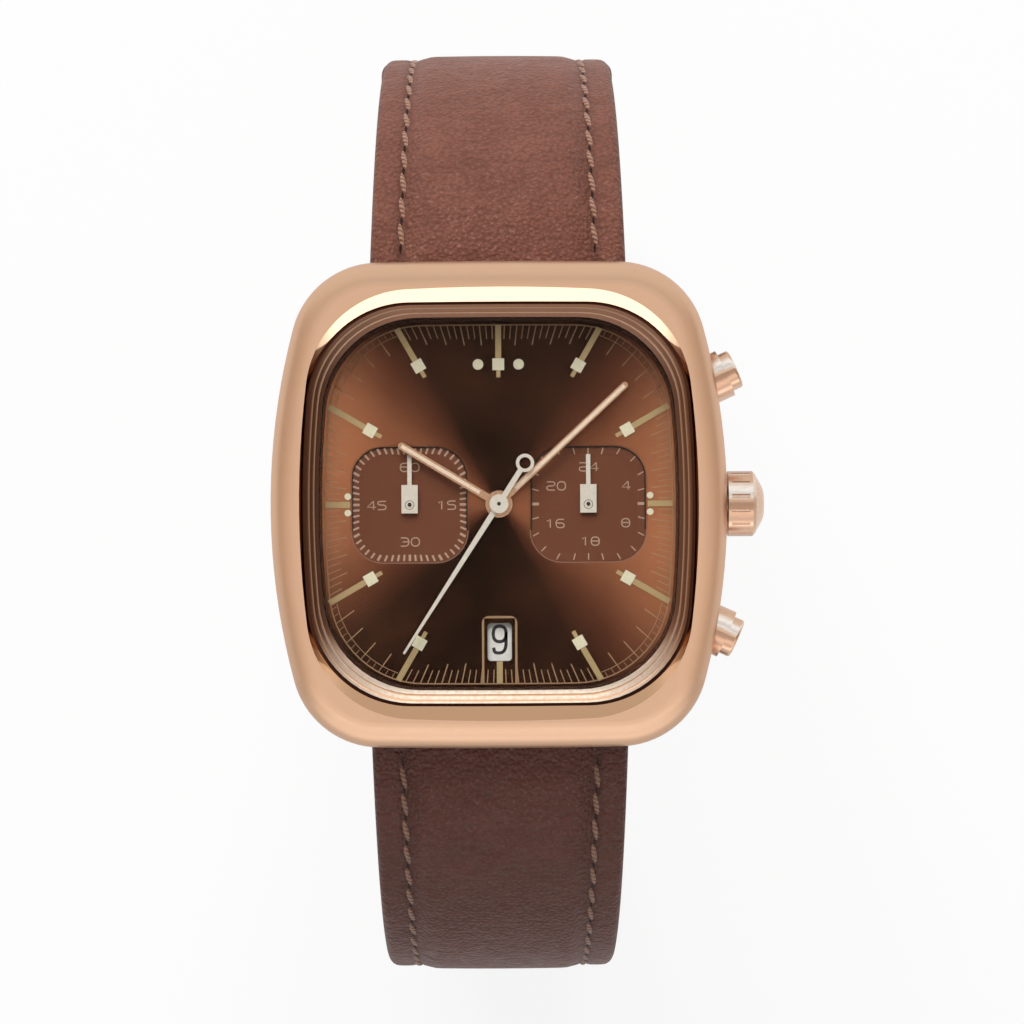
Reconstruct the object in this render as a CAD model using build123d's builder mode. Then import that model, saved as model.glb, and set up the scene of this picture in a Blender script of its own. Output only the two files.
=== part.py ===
"""Cushion case wrist watch with a chronograph dial and an open leather strap, in millimetres.

The origin is the centre of the case back's outer face. +Z points out of the dial, +Y to 12 o'clock
and +X to the crown. Hand angles are in degrees clockwise from 12 o'clock.
"""
from build123d import *
from math import cos, radians, sin, sqrt
import os

os.makedirs("parts", exist_ok=True)

# Case, seen from the dial side
case_side_wall = 4.65
case_corner = 7.5
case_side_rise = 3.7
case_end_rise = 0.25
case_bottom = 0.9
case_shoulder = 2.15
case_foot_chamfer = 0.9
overrun = 1.0
fit_gap = 0.03

# Window over the dial, whose border line the other outlines follow
window_width = 29.4
window_length = 30.4
window_corner = 8.0
window_end_rise = 0.15
window_side_rise_share = 0.085
corner_growth_share = 0.4
rehaut_foot_margin = 0.28
rehaut_top_margin = 0.42
dial_margin = 0.55
cavity_margin = 0.63
seat_margin = 1.15
crystal_margin = 1.6
pocket_margin = 1.88

# Bevel that leads from the top of the case down to the crystal
bevel_side_margin = 0.27
bevel_end_margin = 1.22
bevel_corner = 9.0
bevel_side_rise = 1.9
bevel_end_rise = 0.7
bevel_foot_lift = 0.94
bevel_height = 0.36

# Heights of the dial side
dial_thickness = 0.4
rehaut_height = 1.2
crystal_room = 0.45
crystal_glass = 0.45
crystal_rise = 0.85
crystal_plateau_margin = 0.5
crystal_inner_margin = 0.7
gasket_height = 0.75
subdial_depth = 0.2

# Case back and its fixings
back_side_inset = 2.35
back_end_gap = 0.15
back_corner = 6.0
back_boss_margin = 0.4
back_boss_height = 0.3
back_gasket_width = 0.4
back_gasket_depth = 0.35
back_screw_side_inset = 3.5
back_screw_end_inset = 1.7
back_screw_head_radius = 0.8
back_screw_head_height = 0.45
back_screw_radius = 0.42
back_screw_length = 2.5
screw_slot_width = 0.2
screw_slot_depth = 0.2

# Strap pockets and spring bars
strap_width = 22.0
pocket_side_gap = 0.15
pocket_wall_thickness = 0.62
pocket_wall_gap = 0.25
pocket_roof_gap = 0.45
lug_reach = 2.25
bar_lift = 2.0
bar_radius = 0.9
bar_pivot_radius = 0.45
bar_pivot_length = 1.2
bar_end_gap = 0.05
loop_gap = 0.06

# Crown and stem
crown_lift = 0.7
crown_radius = 2.78
crown_gap = 0.12
crown_body = 2.35
crown_dome = 0.74
crown_dome_step = 0.3
crown_dome_slope = 60.0
crown_dome_round = 2.0
crown_gasket_thickness = 0.45
crown_edge = 0.25
crown_edge_slope = 45.0
crown_flutes = 14
crown_flute_radius = 0.15
crown_flute_margin = 0.28
crown_recess_radius = 1.55
crown_recess_depth = 1.7
crown_travel = 1.2
crown_tube_radius = 1.0
crown_tube_inset = 0.9
crown_tube_reach = 1.18
stem_radius = 0.5
stem_hold = 4.9
stem_gap = 0.06
stem_groove_inset = 3.6
stem_groove_width = 0.4
stem_groove_radius = 0.3
lever_thickness = 0.28
lever_half_width = 1.1
lever_drop = 0.75
lever_rise = 0.4
lever_tail = 1.6

# Pushers
pusher_y = 10.7
pusher_angle = 24.5
pusher_collar_radius = 2.08
pusher_collar_sunk = 1.2
pusher_collar_shown = 1.05
pusher_tube_radius = 1.3
pusher_tube_end = 2.95
pusher_cap_radius = 1.68
pusher_cap_shown = 1.0
pusher_cap_sunk = 0.75
pusher_cap_gap = 0.05
pusher_cap_edge = 0.25
pusher_bore_depth = 2.0
pusher_stem_radius = 0.5
pusher_stem_tail = 0.7
pusher_travel = 0.7
pusher_clip_radius = 0.95
pusher_clip_thickness = 0.25
pusher_room_radius = 1.15
pusher_room_depth = 2.2
spring_wire = 0.1
spring_radius = 1.1
spring_turns = 3

# Movement
movement_margin = 1.2
movement_back_gap = 0.15
ring_gap = 0.06
bridge_lift = 0.85
bridge_thickness = 0.4
bridge_edge = 0.6
train_room = 1.1
plate_thickness = 1.7
plate_rim_width = 2.4
plate_rim_height = 0.46
board_edge = 1.0
board_edge_y = 2.0
board_thickness = 0.3
pillar_radius = 0.9
pillar_side_inset = 3.7
pillar_y = 5.0
pillar_top_inset = 4.0
module_screw_radius = 0.35
module_screw_head_radius = 0.75
module_screw_head_height = 0.35
module_screw_depth = 1.0
battery_bearing = 240.65
battery_radius = 3.95
battery_rim_gap = 0.37
battery_lift = 0.1
battery_lip = 0.3
battery_room = 0.15
coil_side_inset = 6.6
coil_end_inset = 7.1
coil_length = 6.4
coil_radius = 0.85
coil_lift = 0.12
coil_core_radius = 0.35
coil_core_end = 0.5
stator_gap = 0.05
stator_thickness = 0.4
stator_length = 3.8
rotor_offset = 2.7
rotor_radius = 0.8
rotor_gap = 0.25
rotor_height = 0.7
rotor_pivot_radius = 0.12

# Arbors and gears at the centre and under the two sub-dials
chrono_arbor_radius = 0.14
tube_gap = 0.03
cannon_wall = 0.19
cannon_depth = 0.8
hour_tube_wall = 0.23
sub_arbor_radius = 0.15
sub_arbor_tip = 0.06
cannon_teeth = 10
minute_wheel_teeth = 30
minute_pinion_teeth = 8
hour_wheel_teeth = 32
idler_teeth = 28
day_wheel_teeth = 64
tooth_tip_share = 0.85
tooth_root_share = 1.1
tooth_foot_share = 0.31
tooth_crest_share = 0.11
train_wheel_teeth = 40
train_wheel_lift = 0.6
train_wheel_thickness = 0.2
chrono_wheel_radius = 3.0
counter_wheel_radius = 2.4
layer_gap = 0.05
layer_step = 0.07
lower_layer_height = 0.16
upper_layer_height = 0.16
post_radius = 0.2
post_gap = 0.03
date_disc_gap = 0.04
date_disc_thickness = 0.12
date_dial_gap = 0.08
date_disc_edge = 0.05
date_disc_band = 3.7

# Sub-dials and date window
subdial_edge_margin = 2.23
subdial_centre_gap = 2.67
subdial_corner = 2.7
subdial_fit = 0.02
date_window_width = 2.05
date_window_height = 3.2
date_window_shift = 0.07
date_window_corner = 0.3
date_frame_width = 3.0
date_frame_gap = 0.6
date_frame_line = 0.19
date_frame_corner = 0.6
date_frame_height = 0.05

# Hour markers
marker_width = 0.5
marker_height = 0.12
marker_tip_width = 0.34
marker_tip = 1.1
marker_side_length = 2.1
lume_size = 1.0
lume_height = 0.08
lume_inset_top = 3.35
lume_inset_near_top = 4.0
lume_inset_near_side = 4.4
marker_start_inset = 0.35
dot_radius_top = 0.45
dot_offset_top = 1.72
dot_radius_side = 0.28
dot_offset_side = 0.7
dot_inset_side = 1.9
six_marker_gap = 0.03

# Hands
hour_angle = 301.0
hour_tip_inset = 4.8
hour_width = 0.63
hour_hub_radius = 1.15
hour_hand_lift = 0.42
hand_step = 0.2
minute_angle = 46.9
minute_tip_reach = 0.2
minute_width = 0.56
minute_hub_radius = 0.95
hand_thickness = 0.14
inlay_width = 0.3
inlay_depth = 0.07
inlay_start = 1.9
inlay_end_margin = 0.3
chrono_angle = 212.7
chrono_tip_reach = 0.3
chrono_hub_radius = 0.8
chrono_root_width = 0.5
chrono_tip_width = 0.2
chrono_cap_height = 0.35
counterweight_reach = 4.1
counterweight_stem_width = 0.45
counterweight_radius = 0.77
counterweight_hole_radius = 0.49
sub_hand_lift = 0.08
sub_hand_thickness = 0.1
sub_hand_tip_gap = 0.7
sub_hand_needle = 0.37
sub_hand_block_width = 1.38
sub_hand_block_front = 1.66
sub_hand_block_back = 0.75

# Strap
strap_start_angle = 12.0
strap_bend_radius = 27.0
strap_bend_end = 105.0
strap_taper = 4.0
strap_taper_length = 68.0
strap_thickness = 3.2
strap_thin = 2.4
strap_eye_radius = 1.7
strap_pad = 0.75
strap_pad_start = 0.25
strap_pad_end = 0.06
strap_pad_rise_length = 7.0
strap_rim = 3.0
strap_pad_slope = 0.9
strap_step = 3.4
buckle_half_length = 68.0
tail_half_length = 104.0
tail_foot_radius = 20.0
tail_tip_length = 9.0
tail_tip_width = 5.0
tail_tip_shares = (0.35, 0.65, 0.87, 1.0)
tail_holes = 7
tail_hole_pitch = 6.5
tail_hole_radius = 1.05
tail_last_hole = 22.0

# Buckle and keepers
buckle_bar_radius = 0.75
buckle_pivot_radius = 0.45
buckle_pivot_length = 1.2
buckle_eye_radius = 1.35
buckle_side_gap = 0.3
buckle_arm_width = 1.8
buckle_reach = 9.6
buckle_front = 2.0
buckle_back = 1.4
buckle_thickness = 2.0
buckle_corner = 1.6
buckle_running_gap = 0.04
tongue_width = 1.7
tongue_tip_share = 0.8
tongue_slot_gap = 0.3
tongue_slot_length = 6.0
tongue_eye_radius = 1.15
tongue_thickness = 0.9
tongue_tip_height = 1.1
tongue_tip_short = 0.5
tongue_notch_depth = 0.4
tongue_notch_gap = 0.2
keeper_width = 5.0
keeper_thickness = 0.9
keeper_side_gap = 0.15
keeper_slide_gap = 0.3
keeper_under_gap = 0.15
keeper_tail_room = 2.6
fixed_keeper_reach = 9.5
keeper_step = 9.0

# Heights that follow from the sizes above, from the case back up
ring_bottom = case_bottom + back_boss_height + movement_back_gap
battery_bottom = ring_bottom + battery_lift
bridge_bottom = ring_bottom + bridge_lift
bridge_top = bridge_bottom + bridge_thickness
board_bottom = bridge_bottom - board_thickness
plate_bottom = bridge_top + train_room
plate_top = plate_bottom + plate_thickness
plate_rim_top = plate_top + plate_rim_height
date_disc_bottom = plate_rim_top + date_disc_gap
dial_bottom = date_disc_bottom + date_disc_thickness + date_dial_gap
dial_top = dial_bottom + dial_thickness
subdial_floor = dial_top - subdial_depth
sub_hand_bottom = dial_top + sub_hand_lift
sub_arbor_top = sub_hand_bottom + sub_hand_thickness + sub_arbor_tip
hour_hand_bottom = dial_top + hour_hand_lift
minute_hand_bottom = hour_hand_bottom + hand_thickness + hand_step
chrono_hand_bottom = minute_hand_bottom + hand_thickness + hand_step
chrono_cap_top = chrono_hand_bottom + chrono_cap_height
crystal_seat = dial_top + rehaut_height
crystal_inner = chrono_cap_top + crystal_room
crystal_wall_top = crystal_inner + crystal_glass
crystal_top = crystal_wall_top + crystal_rise
bevel_foot = crystal_seat + bevel_foot_lift
case_top = bevel_foot + bevel_height
bar_z = case_bottom + bar_lift
pocket_ceiling = bar_z + strap_thickness / 2 + strap_pad_start + pocket_roof_gap
crown_z = plate_bottom + crown_lift
lever_foot = plate_bottom - lever_drop
lever_top = crown_z + lever_rise
coil_z = bridge_top + coil_lift
stator_top = plate_bottom - stator_gap
cannon_bottom = plate_top - cannon_depth
train_wheel_bottom = bridge_top + train_wheel_lift
lower_layer = plate_top + layer_gap
upper_layer = lower_layer + lower_layer_height + layer_step

# Places and outlines that follow, from the window outwards
case_width = window_width + 2 * case_side_wall
pocket_wall_y = window_length / 2 + cavity_margin + pocket_wall_thickness
bar_y = pocket_wall_y + pocket_wall_gap + strap_eye_radius
case_length = 2 * (bar_y + lug_reach)
pocket_half_width = strap_width / 2 + pocket_side_gap
bevel_width = window_width + 2 * (pocket_margin + bevel_side_margin)
bevel_length = window_length + 2 * (pocket_margin + bevel_end_margin)
back_width = case_width - 2 * back_side_inset
back_length = 2 * (pocket_wall_y - back_end_gap)
back_screw_x = back_width / 2 - back_screw_side_inset
back_screw_y = back_length / 2 - back_screw_end_inset
strap_end_width = strap_width - strap_taper
fixed_keeper_place = buckle_half_length - fixed_keeper_reach
sliding_keeper_place = fixed_keeper_place - keeper_step
crown_start = case_width / 2 + crown_gap
crown_dome_radius = crown_radius - crown_dome_step
crown_tube_start = window_width / 2 + crown_tube_inset
crown_tube_end = crown_start + crown_tube_reach
stem_end = crown_start + crown_body

# Places inside the movement and on the dial
movement_radius = min(window_width, window_length) / 2 - movement_margin
stem_start = movement_radius - stem_hold
stem_groove_x = movement_radius - stem_groove_inset
plate_rim_inner = movement_radius - plate_rim_width
bridge_radius = movement_radius - bridge_edge
board_radius = movement_radius - board_edge
pillar_x = movement_radius - pillar_side_inset
pillar_top_y = movement_radius - pillar_top_inset
battery_distance = movement_radius - battery_radius - battery_rim_gap
battery_x = battery_distance * cos(radians(battery_bearing))
battery_y = battery_distance * sin(radians(battery_bearing))
coil_x = movement_radius - coil_side_inset
coil_y = coil_end_inset - movement_radius
rotor_x = coil_x
rotor_y = coil_y + rotor_offset
date_disc_outer = movement_radius - date_disc_edge
date_disc_inner = date_disc_outer - date_disc_band
date_window_y = -(date_disc_inner + date_disc_outer) / 2 - date_window_shift
date_frame_top = date_window_y + date_window_height / 2 + date_frame_gap
six_marker_top = date_window_y - date_window_height / 2 - six_marker_gap
dot_x_side = window_width / 2 - dot_inset_side
subdial_size = window_width / 2 - subdial_edge_margin - subdial_centre_gap
subdial_offset = subdial_centre_gap + subdial_size / 2
cannon_bore_radius = chrono_arbor_radius + tube_gap
cannon_radius = cannon_bore_radius + cannon_wall
hour_bore_radius = cannon_radius + tube_gap
hour_tube_radius = hour_bore_radius + hour_tube_wall
hour_length = window_width / 2 - hour_tip_inset
minute_length = window_width / 2 + minute_tip_reach
chrono_length = window_width / 2 + chrono_tip_reach
sub_hand_length = subdial_size / 2 - sub_hand_tip_gap
gear_module = 2 * subdial_offset / (hour_wheel_teeth + 2 * idler_teeth + day_wheel_teeth)
minute_wheel_distance = gear_module * (cannon_teeth + minute_wheel_teeth) / 2
minute_wheel_bearing = 225 - 180 / hour_wheel_teeth
minute_wheel_x = minute_wheel_distance * cos(radians(minute_wheel_bearing))
minute_wheel_y = minute_wheel_distance * sin(radians(minute_wheel_bearing))
idler_x = gear_module * (hour_wheel_teeth + idler_teeth) / 2


def cushion(half_width, half_length, corner, side_rise, end_rise):
    """Outline with four bowed sides and round corners, centred on the origin."""
    corner_x = half_width - side_rise
    corner_y = half_length - end_rise
    with BuildSketch() as shape:
        with BuildLine():
            ThreePointArc((corner_x, -corner_y), (half_width, 0), (corner_x, corner_y))
            ThreePointArc((corner_x, corner_y), (0, half_length), (-corner_x, corner_y))
            ThreePointArc((-corner_x, corner_y), (-half_width, 0), (-corner_x, -corner_y))
            ThreePointArc((-corner_x, -corner_y), (0, -half_length), (corner_x, -corner_y))
        make_face()
        fillet(shape.vertices(), corner)
    return shape.sketch


def window(margin):
    """Outline that runs a margin outside the border line of the dial."""
    half_width = window_width / 2 + margin
    return cushion(
        half_width,
        window_length / 2 + margin,
        window_corner + margin * corner_growth_share,
        half_width * window_side_rise_share,
        window_end_rise,
    )


def window_ring(outer_margin, inner_margin, bottom, top):
    """Upright ring between two outlines of the window family."""
    with BuildPart() as ring:
        with BuildSketch(Plane.XY.offset(bottom)):
            add(window(outer_margin))
            add(window(inner_margin), mode=Mode.SUBTRACT)
        extrude(amount=top - bottom)
    return ring.part


def toothed(teeth, module, phase=0.0):
    """Gear outline with a tooth centred at the phase angle, in degrees from +X."""
    pitch_radius = teeth * module / 2
    tip_radius = pitch_radius + tooth_tip_share * module
    root_radius = pitch_radius - tooth_root_share * module
    pitch = 360 / teeth
    flank = (
        (root_radius, -tooth_foot_share),
        (tip_radius, -tooth_crest_share),
        (tip_radius, tooth_crest_share),
        (root_radius, tooth_foot_share),
    )
    corners = []
    for tooth in range(teeth):
        middle = phase + tooth * pitch
        for radius, share in flank:
            angle = radians(middle + share * pitch)
            corners.append((radius * cos(angle), radius * sin(angle)))
    with BuildSketch() as gear:
        with BuildLine():
            Polyline(*corners, close=True)
        make_face()
    return gear.sketch


def flank_x(y):
    """Half width of the case at a distance from its middle."""
    corner_y = case_length / 2 - case_end_rise
    radius = (corner_y * corner_y + case_side_rise * case_side_rise) / (2 * case_side_rise)
    return case_width / 2 - radius + sqrt(radius * radius - y * y)


def pusher_plane(side, reach=0.0):
    """Plane across a pusher's axis, a given reach outside the case flank; side is 1 or -1."""
    across = cos(radians(pusher_angle))
    along = side * sin(radians(pusher_angle))
    origin = (flank_x(pusher_y) + reach * across, side * pusher_y + reach * along, crown_z)
    return Plane(origin=origin, x_dir=(0, 0, 1), z_dir=(across, along, 0))


def hand_plane(height, angle):
    """Plane at a height whose local Y axis points along a hand."""
    return Plane.XY.offset(height).rotated((0, 0, -angle))


def finish(part, name):
    """Label a finished piece and write it."""
    part.label = name
    export_step(part, "parts/" + name + ".step")


# Case

with BuildPart() as case_body:
    with BuildSketch(Plane.XY.offset(case_bottom)):
        add(cushion(case_width / 2, case_length / 2, case_corner, case_side_rise, case_end_rise))
    extrude(amount=case_top - case_bottom)
    fillet(case_body.faces().sort_by(Axis.Z)[-1].edges(), case_shoulder)
    chamfer(case_body.faces().sort_by(Axis.Z)[0].edges(), case_foot_chamfer)
    with BuildSketch(Plane.XY.offset(case_bottom)):
        add(window(cavity_margin))
    extrude(amount=dial_top - case_bottom, mode=Mode.SUBTRACT)
    with BuildSketch(Plane.XY.offset(dial_top)):
        add(window(seat_margin))
    extrude(amount=crystal_seat - dial_top, mode=Mode.SUBTRACT)
    with BuildSketch(Plane.XY.offset(crystal_seat)):
        add(window(pocket_margin))
    extrude(amount=bevel_foot - crystal_seat, mode=Mode.SUBTRACT)
    with BuildSketch(Plane.XY.offset(bevel_foot)):
        add(window(pocket_margin))
    with BuildSketch(Plane.XY.offset(case_top)):
        add(cushion(bevel_width / 2, bevel_length / 2, bevel_corner, bevel_side_rise, bevel_end_rise))
    loft(mode=Mode.SUBTRACT)
    pocket_depth = case_length / 2 + overrun - pocket_wall_y
    with BuildSketch(Plane.XY.offset(case_bottom)):
        for side in (1, -1):
            with Locations((0, side * (pocket_wall_y + pocket_depth / 2))):
                Rectangle(2 * pocket_half_width, pocket_depth)
    extrude(amount=pocket_ceiling - case_bottom, mode=Mode.SUBTRACT)
    with BuildSketch(Plane.YZ):
        with Locations((bar_y, bar_z), (-bar_y, bar_z)):
            Circle(bar_pivot_radius + fit_gap)
    extrude(amount=pocket_half_width + bar_pivot_length, both=True, mode=Mode.SUBTRACT)
    with BuildSketch(Plane.YZ.offset(window_width / 2 - overrun)):
        with Locations((0, crown_z)):
            Circle(crown_tube_radius)
    extrude(amount=case_width / 2 - window_width / 2 + 2 * overrun, mode=Mode.SUBTRACT)
    for side in (1, -1):
        with BuildSketch(pusher_plane(side, -pusher_collar_sunk)):
            Circle(pusher_collar_radius)
        extrude(amount=pusher_collar_sunk + 2 * overrun, mode=Mode.SUBTRACT)
        with BuildSketch(pusher_plane(side, -pusher_collar_sunk)):
            Circle(pusher_tube_radius)
        extrude(amount=-(pusher_tube_end + overrun), mode=Mode.SUBTRACT)
    with BuildSketch(Plane.XY.offset(case_bottom)):
        with GridLocations(2 * back_screw_x, 2 * back_screw_y, 2, 2):
            Circle(back_screw_radius)
    extrude(amount=back_screw_length - case_bottom + fit_gap, mode=Mode.SUBTRACT)
finish(case_body.part, "case_body")

with BuildPart() as rehaut:
    with BuildSketch(Plane.XY.offset(dial_top)):
        add(window(seat_margin - fit_gap))
    extrude(amount=crystal_seat - dial_top)
    with BuildSketch(Plane.XY.offset(dial_top)):
        add(window(rehaut_foot_margin))
    with BuildSketch(Plane.XY.offset(crystal_seat)):
        add(window(rehaut_top_margin))
    loft(mode=Mode.SUBTRACT)
finish(rehaut.part, "rehaut")

with BuildPart() as crystal:
    with BuildSketch(Plane.XY.offset(crystal_seat)):
        add(window(crystal_margin))
    extrude(amount=crystal_wall_top - crystal_seat)
    with BuildSketch(Plane.XY.offset(crystal_wall_top)):
        add(window(crystal_margin))
    with BuildSketch(Plane.XY.offset(crystal_top)):
        add(window(crystal_plateau_margin))
    loft()
    with BuildSketch(Plane.XY.offset(crystal_seat)):
        add(window(crystal_inner_margin))
    extrude(amount=crystal_inner - crystal_seat, mode=Mode.SUBTRACT)
finish(crystal.part, "crystal")

crystal_gasket = window_ring(pocket_margin, crystal_margin, crystal_seat, crystal_seat + gasket_height)
finish(crystal_gasket, "crystal_gasket")

with BuildPart() as case_back:
    with BuildSketch(Plane.XY):
        RectangleRounded(back_width, back_length, back_corner)
    extrude(amount=case_bottom)
    with BuildSketch(Plane.XY.offset(case_bottom)):
        add(window(back_boss_margin))
    extrude(amount=back_boss_height)
    add(
        window_ring(
            cavity_margin + back_gasket_width,
            cavity_margin,
            case_bottom - back_gasket_depth,
            case_bottom,
        ),
        mode=Mode.SUBTRACT,
    )
    with BuildSketch(Plane.XY):
        with GridLocations(2 * back_screw_x, 2 * back_screw_y, 2, 2):
            Circle(back_screw_radius + fit_gap)
    extrude(amount=case_bottom, mode=Mode.SUBTRACT)
    with BuildSketch(Plane.XY):
        with GridLocations(2 * back_screw_x, 2 * back_screw_y, 2, 2):
            Circle(back_screw_head_radius + fit_gap)
    extrude(amount=back_screw_head_height, mode=Mode.SUBTRACT)
finish(case_back.part, "case_back")

back_gasket = window_ring(
    cavity_margin + back_gasket_width, cavity_margin, case_bottom - back_gasket_depth, case_bottom
)
finish(back_gasket, "case_back_gasket")

with BuildPart() as back_screws:
    with BuildSketch(Plane.XY):
        with GridLocations(2 * back_screw_x, 2 * back_screw_y, 2, 2):
            Circle(back_screw_head_radius)
    extrude(amount=back_screw_head_height)
    with BuildSketch(Plane.XY.offset(back_screw_head_height)):
        with GridLocations(2 * back_screw_x, 2 * back_screw_y, 2, 2):
            Circle(back_screw_radius)
    extrude(amount=back_screw_length - back_screw_head_height)
    with BuildSketch(Plane.XY):
        with GridLocations(2 * back_screw_x, 2 * back_screw_y, 2, 2):
            Rectangle(2 * back_screw_head_radius + fit_gap, screw_slot_width)
    extrude(amount=screw_slot_depth, mode=Mode.SUBTRACT)
finish(back_screws.part, "case_back_screws")

# Spring bars in the lug cheeks

with BuildPart() as spring_bars:
    with BuildSketch(Plane.YZ):
        with Locations((bar_y, bar_z), (-bar_y, bar_z)):
            Circle(bar_radius)
    extrude(amount=pocket_half_width - bar_end_gap, both=True)
    with BuildSketch(Plane.YZ):
        with Locations((bar_y, bar_z), (-bar_y, bar_z)):
            Circle(bar_pivot_radius)
    extrude(amount=pocket_half_width + bar_pivot_length - bar_end_gap, both=True)
finish(spring_bars.part, "spring_bars")

# Crown, stem and setting lever

with BuildPart() as crown_tube:
    with BuildSketch(Plane.YZ.offset(crown_tube_start)):
        with Locations((0, crown_z)):
            Circle(crown_tube_radius)
            Circle(stem_radius + stem_gap, mode=Mode.SUBTRACT)
    extrude(amount=crown_tube_end - crown_tube_start)
finish(crown_tube.part, "crown_tube")

with BuildPart() as crown:
    with BuildSketch(Plane.YZ.offset(crown_start)):
        with Locations((0, crown_z)):
            Circle(crown_radius)
    extrude(amount=crown_body - crown_edge)
    with BuildSketch(Plane.YZ.offset(crown_start + crown_body - crown_edge)):
        with Locations((0, crown_z)):
            Circle(crown_radius)
    extrude(amount=crown_edge, taper=crown_edge_slope)
    with BuildSketch(Plane.YZ.offset(crown_start + crown_body)):
        with Locations((0, crown_z)):
            Circle(crown_dome_radius)
    extrude(amount=crown_dome, taper=crown_dome_slope)
    fillet(crown.edges().sort_by(Axis.X)[-1], crown_dome_round)
    with BuildSketch(Plane.YZ.offset(crown_start + crown_flute_margin)):
        with Locations((0, crown_z)):
            with PolarLocations(crown_radius, crown_flutes):
                Circle(crown_flute_radius)
    extrude(amount=crown_body - crown_edge - 2 * crown_flute_margin, mode=Mode.SUBTRACT)
    with BuildSketch(Plane.YZ.offset(crown_start)):
        with Locations((0, crown_z)):
            Circle(crown_recess_radius)
            Circle(stem_radius, mode=Mode.SUBTRACT)
    extrude(amount=crown_recess_depth, mode=Mode.SUBTRACT)
    with BuildSketch(Plane.YZ.offset(crown_start)):
        with Locations((0, crown_z)):
            Circle(stem_radius)
    extrude(amount=crown_body, mode=Mode.SUBTRACT)
finish(crown.part, "crown")

with BuildPart() as crown_gasket:
    with BuildSketch(Plane.YZ.offset(crown_start + crown_recess_depth - crown_gasket_thickness)):
        with Locations((0, crown_z)):
            Circle(crown_recess_radius)
            Circle(crown_tube_radius + fit_gap, mode=Mode.SUBTRACT)
    extrude(amount=crown_gasket_thickness)
finish(crown_gasket.part, "crown_gasket")

with BuildPart() as stem:
    with BuildSketch(Plane.YZ.offset(stem_start)):
        with Locations((0, crown_z)):
            Circle(stem_radius)
    extrude(amount=stem_end - stem_start)
    with BuildSketch(Plane.YZ.offset(stem_groove_x - stem_groove_width / 2)):
        with Locations((0, crown_z)):
            Circle(stem_radius + fit_gap)
            Circle(stem_groove_radius, mode=Mode.SUBTRACT)
    extrude(amount=stem_groove_width, mode=Mode.SUBTRACT)
finish(stem.part, "stem")

with BuildPart() as setting_lever:
    with BuildSketch(Plane.YZ.offset(stem_groove_x - lever_thickness / 2)):
        with Locations((0, (lever_foot + lever_top) / 2)):
            Rectangle(2 * lever_half_width, lever_top - lever_foot)
        with Locations((0, crown_z)):
            Circle(stem_groove_radius + stem_gap, mode=Mode.SUBTRACT)
        with Locations((0, (crown_z + lever_top + overrun) / 2)):
            Rectangle(
                2 * (stem_groove_radius + stem_gap), lever_top + overrun - crown_z, mode=Mode.SUBTRACT
            )
    extrude(amount=lever_thickness)
    with BuildSketch(Plane.XY.offset(lever_foot)):
        with Locations((stem_groove_x + lever_thickness / 2 - lever_tail / 2, 0)):
            Rectangle(lever_tail, 2 * lever_half_width)
    extrude(amount=lever_thickness)
finish(setting_lever.part, "setting_lever")

# Pushers: the upper one starts and stops the chronograph, the lower one resets it

for side, place in ((1, "upper"), (-1, "lower")):
    with BuildPart() as pusher_tube:
        with BuildSketch(pusher_plane(side, -pusher_collar_sunk)):
            Circle(pusher_collar_radius)
        extrude(amount=pusher_collar_sunk + pusher_collar_shown)
        with BuildSketch(pusher_plane(side, -pusher_collar_sunk)):
            Circle(pusher_tube_radius)
        extrude(amount=-(pusher_tube_end - pusher_collar_sunk))
        with BuildSketch(pusher_plane(side, pusher_collar_shown)):
            Circle(pusher_cap_radius + pusher_cap_gap)
        extrude(amount=-pusher_bore_depth, mode=Mode.SUBTRACT)
        with BuildSketch(pusher_plane(side, pusher_collar_shown)):
            Circle(pusher_stem_radius + stem_gap)
        extrude(amount=-(pusher_collar_shown + pusher_tube_end), mode=Mode.SUBTRACT)
    finish(pusher_tube.part, "pusher_tube_" + place)

    with BuildPart() as pusher:
        with BuildSketch(pusher_plane(side, pusher_collar_shown - pusher_cap_sunk)):
            Circle(pusher_cap_radius)
        extrude(amount=pusher_cap_sunk + pusher_cap_shown)
        cap_face = pusher.faces().sort_by(Axis.X)[-1]
        fillet(cap_face.edges(), pusher_cap_edge)
        with BuildSketch(pusher_plane(side, pusher_collar_shown - pusher_cap_sunk)):
            Circle(pusher_stem_radius)
        stem_reach = pusher_collar_shown - pusher_cap_sunk + pusher_tube_end + pusher_stem_tail
        extrude(amount=-stem_reach)
        with BuildSketch(pusher_plane(side, -(pusher_tube_end + fit_gap))):
            Circle(pusher_stem_radius + fit_gap)
            Circle(pusher_stem_radius / 2, mode=Mode.SUBTRACT)
        extrude(amount=-pusher_clip_thickness, mode=Mode.SUBTRACT)
    finish(pusher.part, "pusher_" + place)

    with BuildPart() as pusher_clip:
        with BuildSketch(pusher_plane(side, -(pusher_tube_end + fit_gap))):
            Circle(pusher_clip_radius)
            Circle(pusher_stem_radius / 2, mode=Mode.SUBTRACT)
        extrude(amount=-pusher_clip_thickness)
    finish(pusher_clip.part, "pusher_clip_" + place)

    bore_floor = pusher_collar_shown - pusher_bore_depth
    spring_room = pusher_bore_depth - pusher_cap_sunk - pusher_travel
    spring_height = spring_room - 2 * spring_wire - 2 * fit_gap
    with BuildPart() as pusher_spring:
        with BuildLine() as turns:
            Helix(
                pitch=spring_height / spring_turns,
                height=spring_height,
                radius=spring_radius,
                center=pusher_plane(side, bore_floor + spring_wire + fit_gap).origin,
                direction=pusher_plane(side).z_dir,
            )
        with BuildSketch(Plane(origin=turns.line @ 0, z_dir=turns.line % 0)):
            Circle(spring_wire)
        sweep()
    finish(pusher_spring.part, "pusher_spring_" + place)

# Dial with its two sunk sub-dials and the date window

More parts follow.
